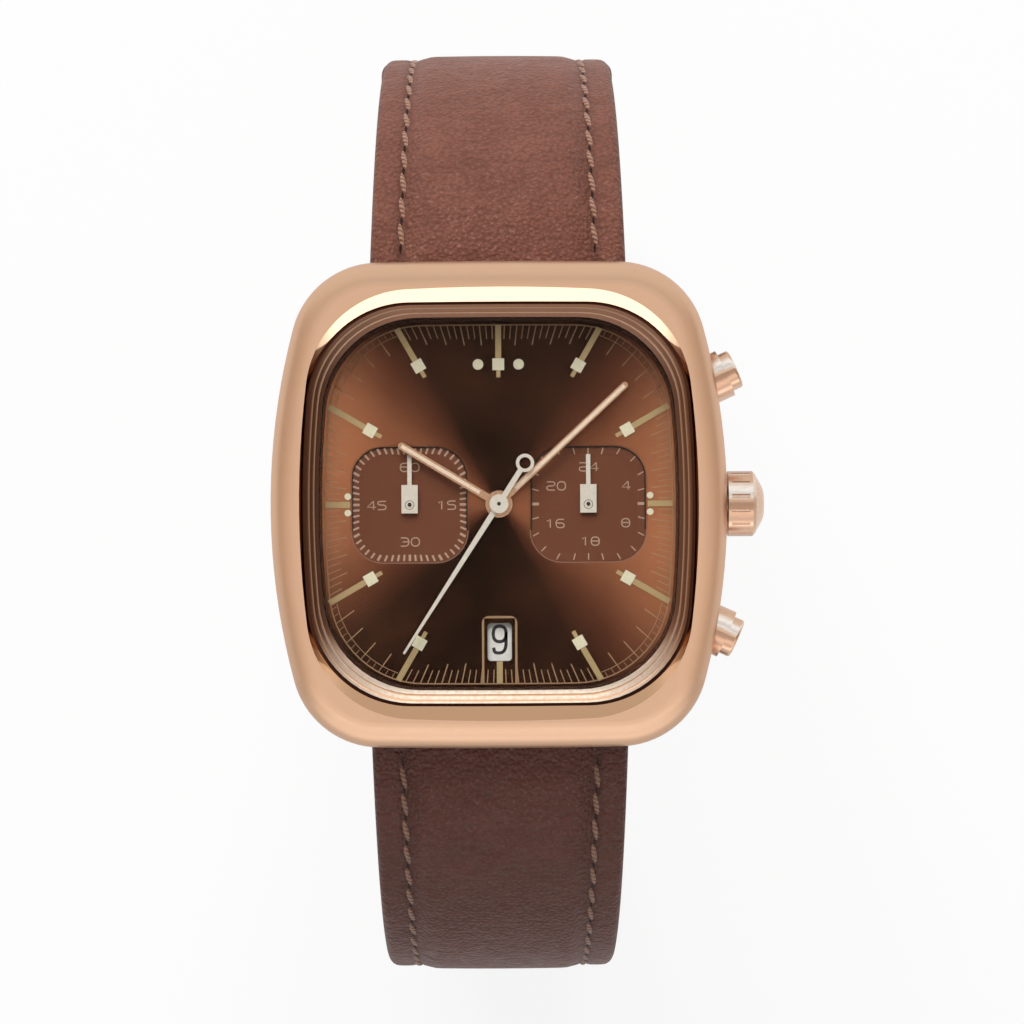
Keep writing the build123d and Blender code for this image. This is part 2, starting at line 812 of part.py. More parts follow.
with BuildPart() as dial:
    with BuildSketch(Plane.XY.offset(dial_bottom)):
        add(window(dial_margin))
        with Locations((-subdial_offset, 0), (subdial_offset, 0)):
            RectangleRounded(subdial_size, subdial_size, subdial_corner, mode=Mode.SUBTRACT)
        with Locations((0, date_window_y)):
            RectangleRounded(
                date_window_width, date_window_height, date_window_corner, mode=Mode.SUBTRACT
            )
        Circle(hour_tube_radius + fit_gap, mode=Mode.SUBTRACT)
    extrude(amount=dial_thickness)
finish(dial.part, "dial")

for place, name in ((-subdial_offset, "minute_subdial"), (subdial_offset, "day_subdial")):
    with BuildPart() as subdial:
        with BuildSketch(Plane.XY.offset(dial_bottom)):
            with Locations((place, 0)):
                RectangleRounded(
                    subdial_size - 2 * subdial_fit, subdial_size - 2 * subdial_fit, subdial_corner
                )
                Circle(sub_arbor_radius + fit_gap, mode=Mode.SUBTRACT)
        extrude(amount=subdial_floor - dial_bottom)
    finish(subdial.part, name)


def edge_radius(hour):
    """Distance from the centre to the nearer straight edge of the window, along an hour line."""
    angle = radians(30 * hour)
    if hour in (2, 4, 8, 10):
        return window_width / 2 / abs(sin(angle))
    return window_length / 2 / abs(cos(angle))


def lume_radius(hour):
    """Distance from the centre to a marker's luminous square, along its hour line."""
    if hour % 6 == 0:
        return edge_radius(hour) - lume_inset_top
    if hour in (1, 5, 7, 11):
        return edge_radius(hour) - lume_inset_near_top
    return edge_radius(hour) - lume_inset_near_side


def marker_start(hour):
    """Distance from the centre to the outer end of a marker, on the border line."""
    if hour % 6 == 0:
        return edge_radius(hour)
    return edge_radius(hour) - marker_start_inset


long_marker_hours = [hour for hour in range(1, 13) if hour not in (3, 6, 9)]

with BuildPart() as hour_markers:
    for hour in long_marker_hours:
        middle = lume_radius(hour)
        with BuildSketch(hand_plane(dial_top, 30 * hour)):
            with Locations((0, (middle + marker_start(hour)) / 2)):
                Rectangle(marker_width, marker_start(hour) - middle)
            with Locations((0, middle - marker_tip / 2)):
                Rectangle(marker_tip_width, marker_tip)
        extrude(amount=marker_height)
    with BuildSketch(Plane.XY.offset(dial_top)):
        side_middle = window_width / 2 - marker_side_length / 2
        with Locations((side_middle, 0), (-side_middle, 0)):
            Rectangle(marker_side_length, marker_width)
        six_length = window_length / 2 + six_marker_top
        with Locations((0, six_marker_top - six_length / 2)):
            Rectangle(marker_width, six_length)
    extrude(amount=marker_height)
finish(hour_markers.part, "hour_markers")

with BuildPart() as marker_lume:
    for hour in long_marker_hours:
        with BuildSketch(hand_plane(dial_top + marker_height, 30 * hour)):
            with Locations((0, lume_radius(hour))):
                Rectangle(lume_size, lume_size)
        extrude(amount=lume_height)
    with BuildSketch(Plane.XY.offset(dial_top)):
        with Locations((dot_offset_top, lume_radius(12)), (-dot_offset_top, lume_radius(12))):
            Circle(dot_radius_top)
        for side in (1, -1):
            with Locations((side * dot_x_side, dot_offset_side), (side * dot_x_side, -dot_offset_side)):
                Circle(dot_radius_side)
    extrude(amount=marker_height + lume_height)
finish(marker_lume.part, "marker_lume")

with BuildPart() as date_frame:
    frame_height = date_frame_top + window_length / 2
    with BuildSketch(Plane.XY.offset(dial_top)) as frame_sketch:
        with Locations((0, date_frame_top - frame_height / 2)):
            Rectangle(date_frame_width, frame_height)
        fillet(frame_sketch.vertices().group_by(Axis.Y)[-1], date_frame_corner)
        inner_height = frame_height - date_frame_line
        with Locations((0, date_frame_top - date_frame_line - inner_height / 2)):
            Rectangle(date_frame_width - 2 * date_frame_line, inner_height, mode=Mode.SUBTRACT)
    extrude(amount=date_frame_height)
finish(date_frame.part, "date_frame")


# Hands

def stick_hand(angle, length, width, hub_radius, bottom, tube_radius):
    """Straight hand with a round tip, a hub on its tube and a groove for the inlay."""
    with BuildPart() as hand:
        with BuildSketch(hand_plane(bottom, angle)):
            Circle(hub_radius)
            with Locations((0, (length - width / 2) / 2)):
                Rectangle(width, length - width / 2)
            with Locations((0, length - width / 2)):
                Circle(width / 2)
            Circle(tube_radius, mode=Mode.SUBTRACT)
        extrude(amount=hand_thickness)
        add(inlay(angle, length, bottom), mode=Mode.SUBTRACT)
    return hand.part


def inlay(angle, length, bottom):
    """Luminous strip let into the top of a hand."""
    strip = length - inlay_start - inlay_end_margin
    with BuildPart() as piece:
        with BuildSketch(hand_plane(bottom + hand_thickness - inlay_depth, angle)):
            with Locations((0, inlay_start + strip / 2)):
                Rectangle(inlay_width, strip)
        extrude(amount=inlay_depth)
    return piece.part


hour_hand = stick_hand(
    hour_angle, hour_length, hour_width, hour_hub_radius, hour_hand_bottom, hour_tube_radius
)
finish(hour_hand, "hour_hand")
finish(inlay(hour_angle, hour_length, hour_hand_bottom), "hour_hand_inlay")

minute_hand = stick_hand(
    minute_angle, minute_length, minute_width, minute_hub_radius, minute_hand_bottom, cannon_radius
)
finish(minute_hand, "minute_hand")
finish(inlay(minute_angle, minute_length, minute_hand_bottom), "minute_hand_inlay")

with BuildPart() as chrono_hand:
    with BuildSketch(hand_plane(chrono_hand_bottom, chrono_angle)):
        with BuildLine():
            Polyline(
                (-chrono_root_width / 2, 0),
                (-chrono_tip_width / 2, chrono_length),
                (chrono_tip_width / 2, chrono_length),
                (chrono_root_width / 2, 0),
                close=True,
            )
        make_face()
        with Locations((0, -counterweight_reach / 2)):
            Rectangle(counterweight_stem_width, counterweight_reach)
        with Locations((0, -counterweight_reach)):
            Circle(counterweight_radius)
            Circle(counterweight_hole_radius, mode=Mode.SUBTRACT)
    extrude(amount=hand_thickness)
    with BuildSketch(Plane.XY.offset(chrono_hand_bottom)):
        Circle(chrono_hub_radius)
    extrude(amount=chrono_cap_top - chrono_hand_bottom)
    with BuildSketch(Plane.XY.offset(chrono_hand_bottom)):
        Circle(chrono_arbor_radius)
    extrude(amount=chrono_cap_top - chrono_hand_bottom, mode=Mode.SUBTRACT)
finish(chrono_hand.part, "chrono_hand")

for place, name in ((-subdial_offset, "counter_hand"), (subdial_offset, "day_hand")):
    with BuildPart() as sub_hand:
        block_length = sub_hand_block_front + sub_hand_block_back
        with BuildSketch(Plane.XY.offset(sub_hand_bottom)):
            with Locations((place, (sub_hand_block_front - sub_hand_block_back) / 2)):
                Rectangle(sub_hand_block_width, block_length)
            with Locations((place, sub_hand_length / 2)):
                Rectangle(sub_hand_needle, sub_hand_length)
            with Locations((place, 0)):
                Circle(sub_arbor_radius, mode=Mode.SUBTRACT)
        extrude(amount=sub_hand_thickness)
    finish(sub_hand.part, name)

# Movement: ring, plates and motion work

with BuildPart() as movement_ring:
    with BuildSketch(Plane.XY.offset(ring_bottom)):
        add(window(cavity_margin - ring_gap))
        Circle(movement_radius + ring_gap, mode=Mode.SUBTRACT)
    extrude(amount=dial_bottom - ring_bottom)
    with BuildSketch(Plane.YZ.offset(movement_radius - overrun)):
        with Locations((0, crown_z)):
            Circle(crown_tube_radius + ring_gap)
    extrude(amount=2 * overrun + window_width / 2 - movement_radius, mode=Mode.SUBTRACT)
    for side in (1, -1):
        with BuildSketch(pusher_plane(side, -(pusher_tube_end - overrun))):
            Circle(pusher_room_radius)
        extrude(amount=-(pusher_room_depth + overrun), mode=Mode.SUBTRACT)
        with BuildSketch(pusher_plane(side)):
            Circle(pusher_tube_radius + ring_gap)
        extrude(amount=-(pusher_tube_end + ring_gap), mode=Mode.SUBTRACT)
finish(movement_ring.part, "movement_ring")

screw_places = ((pillar_x, pillar_y), (-pillar_x, pillar_y), (0, pillar_top_y))

with BuildPart() as main_plate:
    with BuildSketch(Plane.XY.offset(plate_bottom)):
        Circle(movement_radius)
    extrude(amount=plate_top - plate_bottom)
    with BuildSketch(Plane.XY.offset(plate_top)):
        Circle(movement_radius)
        Circle(plate_rim_inner, mode=Mode.SUBTRACT)
    extrude(amount=plate_rim_top - plate_top)
    with BuildSketch(Plane.XY.offset(bridge_top)):
        with Locations(*screw_places):
            Circle(pillar_radius)
    extrude(amount=plate_bottom - bridge_top)
    with BuildSketch(Plane.XY.offset(bridge_top)):
        with Locations(*screw_places):
            Circle(module_screw_radius)
    extrude(amount=module_screw_depth + overrun, mode=Mode.SUBTRACT)
    with BuildSketch(Plane.XY.offset(plate_bottom)):
        Circle(cannon_radius + fit_gap)
        with Locations((-subdial_offset, 0)):
            Circle(sub_arbor_radius + fit_gap)
    extrude(amount=plate_top - plate_bottom, mode=Mode.SUBTRACT)
    with BuildSketch(Plane.XY.offset(plate_top)):
        with Locations((minute_wheel_x, minute_wheel_y), (idler_x, 0), (subdial_offset, 0)):
            Circle(post_radius)
    extrude(amount=upper_layer + upper_layer_height - plate_top)
    with BuildSketch(Plane.YZ.offset(stem_start - 2 * stem_gap)):
        with Locations((0, crown_z)):
            Circle(stem_radius + stem_gap)
    extrude(amount=movement_radius - stem_start + overrun, mode=Mode.SUBTRACT)
    slot_length = crown_travel + lever_thickness + 4 * stem_gap
    with BuildSketch(Plane.XY.offset(plate_bottom)):
        with Locations((stem_groove_x + crown_travel / 2, 0)):
            Rectangle(slot_length, 2 * (lever_half_width + stem_gap))
    extrude(amount=lever_top + stem_gap - plate_bottom, mode=Mode.SUBTRACT)
finish(main_plate.part, "main_plate")

with BuildPart() as train_bridge:
    with BuildSketch(Plane.XY.offset(bridge_bottom)):
        Circle(bridge_radius)
        with Locations((battery_x, battery_y)):
            Circle(battery_radius + battery_room, mode=Mode.SUBTRACT)
        with Locations((coil_x, coil_y)):
            Rectangle(
                coil_length + 2 * coil_core_end, 2 * (coil_radius + battery_room), mode=Mode.SUBTRACT
            )
        with Locations(*screw_places):
            Circle(module_screw_radius, mode=Mode.SUBTRACT)
        Circle(chrono_arbor_radius + fit_gap, mode=Mode.SUBTRACT)
        with Locations((-subdial_offset, 0)):
            Circle(sub_arbor_radius + fit_gap, mode=Mode.SUBTRACT)
        with Locations((rotor_x, rotor_y)):
            Circle(rotor_pivot_radius + fit_gap, mode=Mode.SUBTRACT)
    extrude(amount=bridge_top - bridge_bottom)
finish(train_bridge.part, "train_bridge")

with BuildPart() as circuit_board:
    with BuildSketch(Plane.XY.offset(board_bottom)):
        Circle(board_radius)
        with Locations((0, board_edge_y - board_radius)):
            Rectangle(2 * board_radius, 2 * board_radius, mode=Mode.SUBTRACT)
        with Locations(*screw_places):
            Circle(module_screw_radius, mode=Mode.SUBTRACT)
    extrude(amount=board_thickness)
finish(circuit_board.part, "circuit_board")

with BuildPart() as movement_screws:
    with BuildSketch(Plane.XY.offset(board_bottom - module_screw_head_height)):
        with Locations(*screw_places):
            Circle(module_screw_head_radius)
    extrude(amount=module_screw_head_height)
    with BuildSketch(Plane.XY.offset(board_bottom)):
        with Locations(*screw_places):
            Circle(module_screw_radius)
    extrude(amount=bridge_top - board_bottom + module_screw_depth)
finish(movement_screws.part, "movement_screws")

with BuildPart() as battery:
    battery_top = plate_bottom - fit_gap
    with BuildSketch(Plane.XY.offset(battery_bottom)):
        with Locations((battery_x, battery_y)):
            Circle(battery_radius)
    extrude(amount=battery_top - battery_lip - battery_bottom)
    with BuildSketch(Plane.XY.offset(battery_top - battery_lip)):
        with Locations((battery_x, battery_y)):
            Circle(battery_radius - battery_lip)
    extrude(amount=battery_lip)
finish(battery.part, "battery")

with BuildPart() as coil:
    with BuildSketch(Plane.YZ.offset(coil_x)):
        with Locations((coil_y, coil_z)):
            Circle(coil_radius)
    extrude(amount=coil_length / 2, both=True)
    with BuildSketch(Plane.YZ.offset(coil_x)):
        with Locations((coil_y, coil_z)):
            Circle(coil_core_radius)
    extrude(amount=coil_length / 2 + coil_core_end, both=True)
finish(coil.part, "motor_coil")

with BuildPart() as stator:
    stator_width = coil_length + 2 * coil_core_end
    leg_bottom = coil_z + coil_core_radius
    with BuildSketch(Plane.XY.offset(stator_top - stator_thickness)):
        with Locations((coil_x, coil_y + coil_radius + stator_length / 2)):
            Rectangle(stator_width, stator_length)
        with Locations((rotor_x, rotor_y)):
            Circle(rotor_radius + rotor_gap, mode=Mode.SUBTRACT)
    extrude(amount=stator_thickness)
    with BuildSketch(Plane.XY.offset(leg_bottom)):
        for end in (1, -1):
            leg_x = coil_x + end * (coil_length / 2 + coil_core_end / 2)
            with Locations((leg_x, coil_y + coil_radius)):
                Rectangle(coil_core_end, 2 * (coil_radius + coil_core_radius))
    extrude(amount=stator_top - leg_bottom)
finish(stator.part, "stator")

with BuildPart() as rotor:
    with BuildSketch(Plane.XY.offset(stator_top - rotor_height)):
        with Locations((rotor_x, rotor_y)):
            Circle(rotor_radius)
    extrude(amount=rotor_height)
    with BuildSketch(Plane.XY.offset(bridge_bottom)):
        with Locations((rotor_x, rotor_y)):
            Circle(rotor_pivot_radius)
    extrude(amount=stator_top - bridge_bottom)
finish(rotor.part, "rotor")

with BuildPart() as cannon_pinion:
    with BuildSketch(Plane.XY.offset(cannon_bottom)):
        Circle(cannon_radius)
    extrude(amount=minute_hand_bottom + hand_thickness - cannon_bottom)
    with BuildSketch(Plane.XY.offset(lower_layer)):
        add(toothed(cannon_teeth, gear_module, minute_wheel_bearing))
    extrude(amount=lower_layer_height)
    with BuildSketch(Plane.XY.offset(cannon_bottom)):
        Circle(cannon_bore_radius)
    extrude(amount=minute_hand_bottom + hand_thickness - cannon_bottom, mode=Mode.SUBTRACT)
finish(cannon_pinion.part, "cannon_pinion")

with BuildPart() as minute_wheel:
    minute_wheel_phase = minute_wheel_bearing + 180 + 180 / minute_wheel_teeth
    with BuildSketch(Plane.XY.offset(lower_layer)):
        with Locations((minute_wheel_x, minute_wheel_y)):
            add(toothed(minute_wheel_teeth, gear_module, minute_wheel_phase))
    extrude(amount=lower_layer_height)
    with BuildSketch(Plane.XY.offset(lower_layer + lower_layer_height)):
        with Locations((minute_wheel_x, minute_wheel_y)):
            add(toothed(minute_pinion_teeth, gear_module, minute_wheel_bearing + 180))
    extrude(amount=upper_layer + upper_layer_height - lower_layer - lower_layer_height)
    with BuildSketch(Plane.XY.offset(lower_layer)):
        with Locations((minute_wheel_x, minute_wheel_y)):
            Circle(post_radius + post_gap)
    extrude(amount=upper_layer + upper_layer_height - lower_layer, mode=Mode.SUBTRACT)
finish(minute_wheel.part, "minute_wheel")

with BuildPart() as hour_wheel:
    with BuildSketch(Plane.XY.offset(upper_layer)):
        add(toothed(hour_wheel_teeth, gear_module))
    extrude(amount=upper_layer_height)
    with BuildSketch(Plane.XY.offset(upper_layer)):
        Circle(hour_tube_radius)
    extrude(amount=hour_hand_bottom + hand_thickness - upper_layer)
    with BuildSketch(Plane.XY.offset(upper_layer)):
        Circle(hour_bore_radius)
    extrude(amount=hour_hand_bottom + hand_thickness - upper_layer, mode=Mode.SUBTRACT)
finish(hour_wheel.part, "hour_wheel")

with BuildPart() as day_idler:
    with BuildSketch(Plane.XY.offset(upper_layer)):
        with Locations((idler_x, 0)):
            add(toothed(idler_teeth, gear_module, 180 / idler_teeth))
            Circle(post_radius + post_gap, mode=Mode.SUBTRACT)
    extrude(amount=upper_layer_height)
finish(day_idler.part, "day_idler")

with BuildPart() as day_wheel:
    with BuildSketch(Plane.XY.offset(upper_layer)):
        with Locations((subdial_offset, 0)):
            add(toothed(day_wheel_teeth, gear_module))
    extrude(amount=upper_layer_height)
    with BuildSketch(Plane.XY.offset(upper_layer)):
        with Locations((subdial_offset, 0)):
            Circle(post_radius + post_gap)
    extrude(amount=upper_layer_height, mode=Mode.SUBTRACT)
    with BuildSketch(Plane.XY.offset(upper_layer + upper_layer_height)):
        with Locations((subdial_offset, 0)):
            Circle(sub_arbor_radius)
    extrude(amount=sub_arbor_top - upper_layer - upper_layer_height)
    with BuildSketch(Plane.XY.offset(upper_layer + upper_layer_height)):
        with Locations((subdial_offset, 0)):
            Circle(2 * post_radius)
    extrude(amount=dial_bottom - fit_gap - upper_layer - upper_layer_height)
finish(day_wheel.part, "day_wheel")

for name, x, size, arbor, arbor_top in (
    ("chrono_wheel", 0, chrono_wheel_radius, chrono_arbor_radius, chrono_cap_top),
    ("counter_wheel", -subdial_offset, counter_wheel_radius, sub_arbor_radius, sub_arbor_top),
):
    with BuildPart() as train_wheel:
        with BuildSketch(Plane.XY.offset(train_wheel_bottom)):
            with Locations((x, 0)):
                add(toothed(train_wheel_teeth, 2 * size / train_wheel_teeth))
        extrude(amount=train_wheel_thickness)
        with BuildSketch(Plane.XY.offset(bridge_bottom)):
            with Locations((x, 0)):
                Circle(arbor)
        extrude(amount=arbor_top - bridge_bottom)
    finish(train_wheel.part, name)

with BuildPart() as date_disc:
    with BuildSketch(Plane.XY.offset(date_disc_bottom)):
        Circle(date_disc_outer)
        Circle(date_disc_inner, mode=Mode.SUBTRACT)
    extrude(amount=date_disc_thickness)
finish(date_disc.part, "date_disc")


# Strap: each half follows arcs and straights from its spring bar, and both feet stand level

bend_length = strap_bend_radius * radians(strap_bend_end - strap_start_angle)
bend_drop = strap_bend_radius * (cos(radians(strap_start_angle)) - cos(radians(strap_bend_end)))
drop_share = sin(radians(strap_bend_end))
lean_share = -cos(radians(strap_bend_end))
buckle_side_drop = (buckle_half_length - bend_length + buckle_reach) * drop_share
foot_drop = bend_drop + buckle_side_drop + buckle_thickness / 2 * lean_share
tail_foot_drop = tail_foot_radius * (1 - lean_share) + strap_thin / 2 + strap_pad_end
tail_straight = (foot_drop - bend_drop - tail_foot_drop) / drop_share
buckle_route = ((bend_length, strap_bend_radius), (buckle_half_length, None))
tail_route = (
    (bend_length, strap_bend_radius),
    (tail_straight, None),
    (tail_foot_radius * radians(180 - strap_bend_end), tail_foot_radius),
    (tail_half_length, None),
)


def strap_point(side, route, place):
    """Height, reach and slope of the strap's middle line at a distance from its spring bar."""
    y = bar_y
    z = bar_z
    slope = radians(strap_start_angle)
    left = place
    for length, radius in route:
        step = min(left, length)
        if radius is None:
            y += step * cos(slope)
            z -= step * sin(slope)
        else:
            turned = slope + step / radius
            y += radius * (sin(turned) - sin(slope))
            z += radius * (cos(turned) - cos(slope))
            slope = turned
        left -= step
        if left <= 0:
            break
    return side * y, z, slope


def strap_plane(side, route, place):
    """Plane across the strap, local X to the side and local Y out of the wrist."""
    y, z, slope = strap_point(side, route, place)
    return Plane(origin=(0, y, z), x_dir=(-side, 0, 0), z_dir=(0, side * cos(slope), -sin(slope)))


def strap_face_plane(side, route, place, height=0.0):
    """Plane along the strap, local X to the side and local Z out of the wrist."""
    y, z, slope = strap_point(side, route, place)
    out_y = side * sin(slope)
    out_z = cos(slope)
    return Plane(
        origin=(0, y + height * out_y, z + height * out_z),
        x_dir=(-side, 0, 0),
        z_dir=(0, out_y, out_z),
    )


def width_at(place):
    """Width of the strap at a distance from the spring bar."""
    share = min(place / strap_taper_length, 1)
    return strap_width + (strap_end_width - strap_width) * share


def thickness_at(place):
    """Thickness of the strap's rim at a distance from the spring bar."""
    share = min(place / bend_length, 1)
    return strap_thickness + (strap_thin - strap_thickness) * share


def pad_at(place):
    """Height of the padded middle above the rim."""
    if place < strap_pad_rise_length:
        return strap_pad_start + (strap_pad - strap_pad_start) * place / strap_pad_rise_length
    share = min((place - strap_pad_rise_length) / (bend_length - strap_pad_rise_length), 1)
    return strap_pad + (strap_pad_end - strap_pad) * share


def strap_section(width, thickness, pad):
    """Closed section of the strap: flat inside, with a raised padded middle outside."""
    half = width / 2
    rim = half * (1 - 2 * strap_rim / strap_width)
    top = rim * (1 - strap_pad_slope / (strap_width / 2))
    Polygon(
        (-half, -thickness / 2),
        (half, -thickness / 2),
        (half, thickness / 2),
        (rim, thickness / 2),
        (top, thickness / 2 + pad),
        (-top, thickness / 2 + pad),
        (-rim, thickness / 2),
        (-half, thickness / 2),
        align=None,
    )


def stations(length, narrowing=0.0):
    """Distances of the strap's sections, closer together where the tip narrows."""
    body = length - narrowing
    count = round(body / strap_step)
    places = [body * index / count for index in range(count + 1)]
    if narrowing:
        places += [body + narrowing * share for share in tail_tip_shares]
    return places


def tip_width(place, length):
    """Width of the tail half, which ends in a blunt oval tip."""
    body = length - tail_tip_length
    if place <= body:
        return width_at(place)
    share = (place - body) / tail_tip_length
    reach = sqrt(1 - share * share)
    return tail_tip_width + (width_at(place) - tail_tip_width) * reach


with BuildPart() as buckle_half:
    for place in stations(buckle_half_length):
        with BuildSketch(strap_plane(1, buckle_route, place)):
            strap_section(width_at(place), thickness_at(place), pad_at(place))
    loft(ruled=True)
    with BuildSketch(Plane.YZ):
        with Locations((bar_y, bar_z)):
            Circle(strap_eye_radius)
    extrude(amount=strap_width / 2, both=True)
    end_y, end_z, end_slope = strap_point(1, buckle_route, buckle_half_length)
    with BuildSketch(Plane.YZ):
        with Locations((end_y, end_z)):
            Circle(buckle_eye_radius)
    extrude(amount=strap_end_width / 2, both=True)
    with BuildSketch(Plane.YZ):
        with Locations((bar_y, bar_z)):
            Circle(bar_radius + loop_gap)
        with Locations((end_y, end_z)):
            Circle(buckle_bar_radius + loop_gap)
    extrude(amount=strap_width, both=True, mode=Mode.SUBTRACT)
    slot_middle = buckle_half_length - tongue_slot_length / 2 + buckle_eye_radius
    with BuildSketch(strap_face_plane(1, buckle_route, slot_middle)):
        Rectangle(tongue_width + 2 * tongue_slot_gap, tongue_slot_length + 2 * buckle_eye_radius)
    extrude(amount=strap_thickness, both=True, mode=Mode.SUBTRACT)
finish(buckle_half.part, "strap_buckle_half")

with BuildPart() as tail_half:
    for place in stations(tail_half_length, tail_tip_length):
        with BuildSketch(strap_plane(-1, tail_route, place)):
            strap_section(tip_width(place, tail_half_length), thickness_at(place), pad_at(place))
    loft(ruled=True)
    with BuildSketch(Plane.YZ):
        with Locations((-bar_y, bar_z)):
            Circle(strap_eye_radius)
    extrude(amount=strap_width / 2, both=True)
    with BuildSketch(Plane.YZ):
        with Locations((-bar_y, bar_z)):
            Circle(bar_radius + loop_gap)
    extrude(amount=strap_width, both=True, mode=Mode.SUBTRACT)
    for index in range(tail_holes):
        place = tail_half_length - tail_last_hole - index * tail_hole_pitch
        with BuildSketch(strap_face_plane(-1, tail_route, place)):
            Circle(tail_hole_radius)
        extrude(amount=strap_thickness, both=True, mode=Mode.SUBTRACT)
finish(tail_half.part, "strap_tail_half")

# Buckle: frame, tongue and the bar that carries both

buckle_inner = strap_end_width / 2 + buckle_side_gap
buckle_outer = buckle_inner + buckle_arm_width

with BuildPart() as buckle_bar:
    with BuildSketch(Plane.YZ):
        with Locations((end_y, end_z)):
            Circle(buckle_bar_radius)
    extrude(amount=buckle_inner - buckle_running_gap, both=True)
    with BuildSketch(Plane.YZ):
        with Locations((end_y, end_z)):
            Circle(buckle_pivot_radius)
    extrude(amount=buckle_inner + buckle_pivot_length, both=True)
finish(buckle_bar.part, "buckle_bar")

with BuildPart() as buckle_frame:
    frame_length = buckle_reach + buckle_back
    bar_plane = strap_face_plane(1, buckle_route, buckle_half_length)
    with BuildSketch(bar_plane):
        with Locations((0, -(buckle_reach - frame_length / 2))):
            RectangleRounded(2 * buckle_outer, frame_length, buckle_corner)
        room = buckle_reach - buckle_front + buckle_back + overrun
        with Locations((0, -(buckle_reach - buckle_front - room / 2))):
            Rectangle(2 * buckle_inner, room, mode=Mode.SUBTRACT)
    extrude(amount=buckle_thickness / 2, both=True)
    with BuildSketch(bar_plane.offset(buckle_thickness / 2)):
        with Locations((0, -(buckle_reach - buckle_front / 2))):
            Rectangle(tongue_width + 2 * tongue_notch_gap, buckle_front)
    extrude(amount=-tongue_notch_depth, mode=Mode.SUBTRACT)
    with BuildSketch(Plane.YZ):
        with Locations((end_y, end_z)):
            Circle(buckle_pivot_radius + buckle_running_gap)
    extrude(amount=buckle_inner + buckle_pivot_length + fit_gap, both=True, mode=Mode.SUBTRACT)
finish(buckle_frame.part, "buckle_frame")

with BuildPart() as tongue:
    tip_reach = buckle_reach - tongue_tip_short
    tongue_plane = Plane(
        origin=(0, end_y, end_z),
        x_dir=(0, cos(end_slope), -sin(end_slope)),
        z_dir=(1, 0, 0),
    )
    with BuildSketch(tongue_plane):
        Circle(tongue_eye_radius)
        with BuildLine():
            Polyline(
                (0, tongue_eye_radius - tongue_thickness),
                (tip_reach, tongue_tip_height),
                (tip_reach, tongue_tip_height + tongue_thickness * tongue_tip_share),
                (0, tongue_eye_radius),
                close=True,
            )
        make_face()
        Circle(buckle_bar_radius + buckle_running_gap, mode=Mode.SUBTRACT)
    extrude(amount=tongue_width / 2, both=True)
finish(tongue.part, "buckle_tongue")


def keeper(place, side_gap):
    """Leather loop around the buckle half with room for the tail."""
    inner_half = width_at(place - keeper_width / 2) / 2 + side_gap
    inner_low = -thickness_at(place) / 2 - keeper_under_gap
    inner_high = thickness_at(place) / 2 + strap_pad_end + keeper_tail_room
    middle = (inner_low + inner_high) / 2
    height = inner_high - inner_low
    with BuildPart() as loop:
        with BuildSketch(strap_plane(1, buckle_route, place)):
            with Locations((0, middle)):
                RectangleRounded(
                    2 * (inner_half + keeper_thickness), height + 2 * keeper_thickness, keeper_thickness
                )
                Rectangle(2 * inner_half, height, mode=Mode.SUBTRACT)
        extrude(amount=keeper_width / 2, both=True)
    return loop.part


finish(keeper(fixed_keeper_place, keeper_side_gap), "fixed_keeper")
finish(keeper(sliding_keeper_place, keeper_slide_gap), "sliding_keeper")
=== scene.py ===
"""Looks of the cushion case watch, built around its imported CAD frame.

Lengths below are in millimetres and are turned into metres where a mesh is made. +Z points out of the
dial, +Y to 12 o'clock and +X to the crown. Dial angles are clockwise from 12 o'clock.
"""

import math
import bmesh
import bpy
from mathutils import Matrix, Vector


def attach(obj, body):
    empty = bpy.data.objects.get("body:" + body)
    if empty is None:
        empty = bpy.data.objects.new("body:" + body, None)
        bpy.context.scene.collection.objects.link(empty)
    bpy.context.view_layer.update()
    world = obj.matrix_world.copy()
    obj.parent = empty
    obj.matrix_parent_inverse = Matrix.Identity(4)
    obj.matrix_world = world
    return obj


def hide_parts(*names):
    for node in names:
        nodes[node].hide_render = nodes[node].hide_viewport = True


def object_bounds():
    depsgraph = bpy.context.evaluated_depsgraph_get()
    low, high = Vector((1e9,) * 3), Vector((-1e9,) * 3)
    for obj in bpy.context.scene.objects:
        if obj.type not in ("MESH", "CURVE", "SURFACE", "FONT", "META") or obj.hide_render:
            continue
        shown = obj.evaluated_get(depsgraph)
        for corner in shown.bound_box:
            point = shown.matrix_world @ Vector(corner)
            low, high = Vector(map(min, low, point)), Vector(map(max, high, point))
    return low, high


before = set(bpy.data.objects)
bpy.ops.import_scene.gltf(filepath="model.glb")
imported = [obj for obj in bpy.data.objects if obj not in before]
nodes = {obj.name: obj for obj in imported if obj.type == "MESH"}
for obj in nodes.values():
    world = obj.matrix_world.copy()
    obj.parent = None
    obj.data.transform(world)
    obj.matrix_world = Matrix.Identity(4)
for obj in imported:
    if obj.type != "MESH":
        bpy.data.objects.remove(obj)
cad_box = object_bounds()
scene = bpy.context.scene
MM = 0.001
GOLD = (0.74, 0.475, 0.315)


# Materials

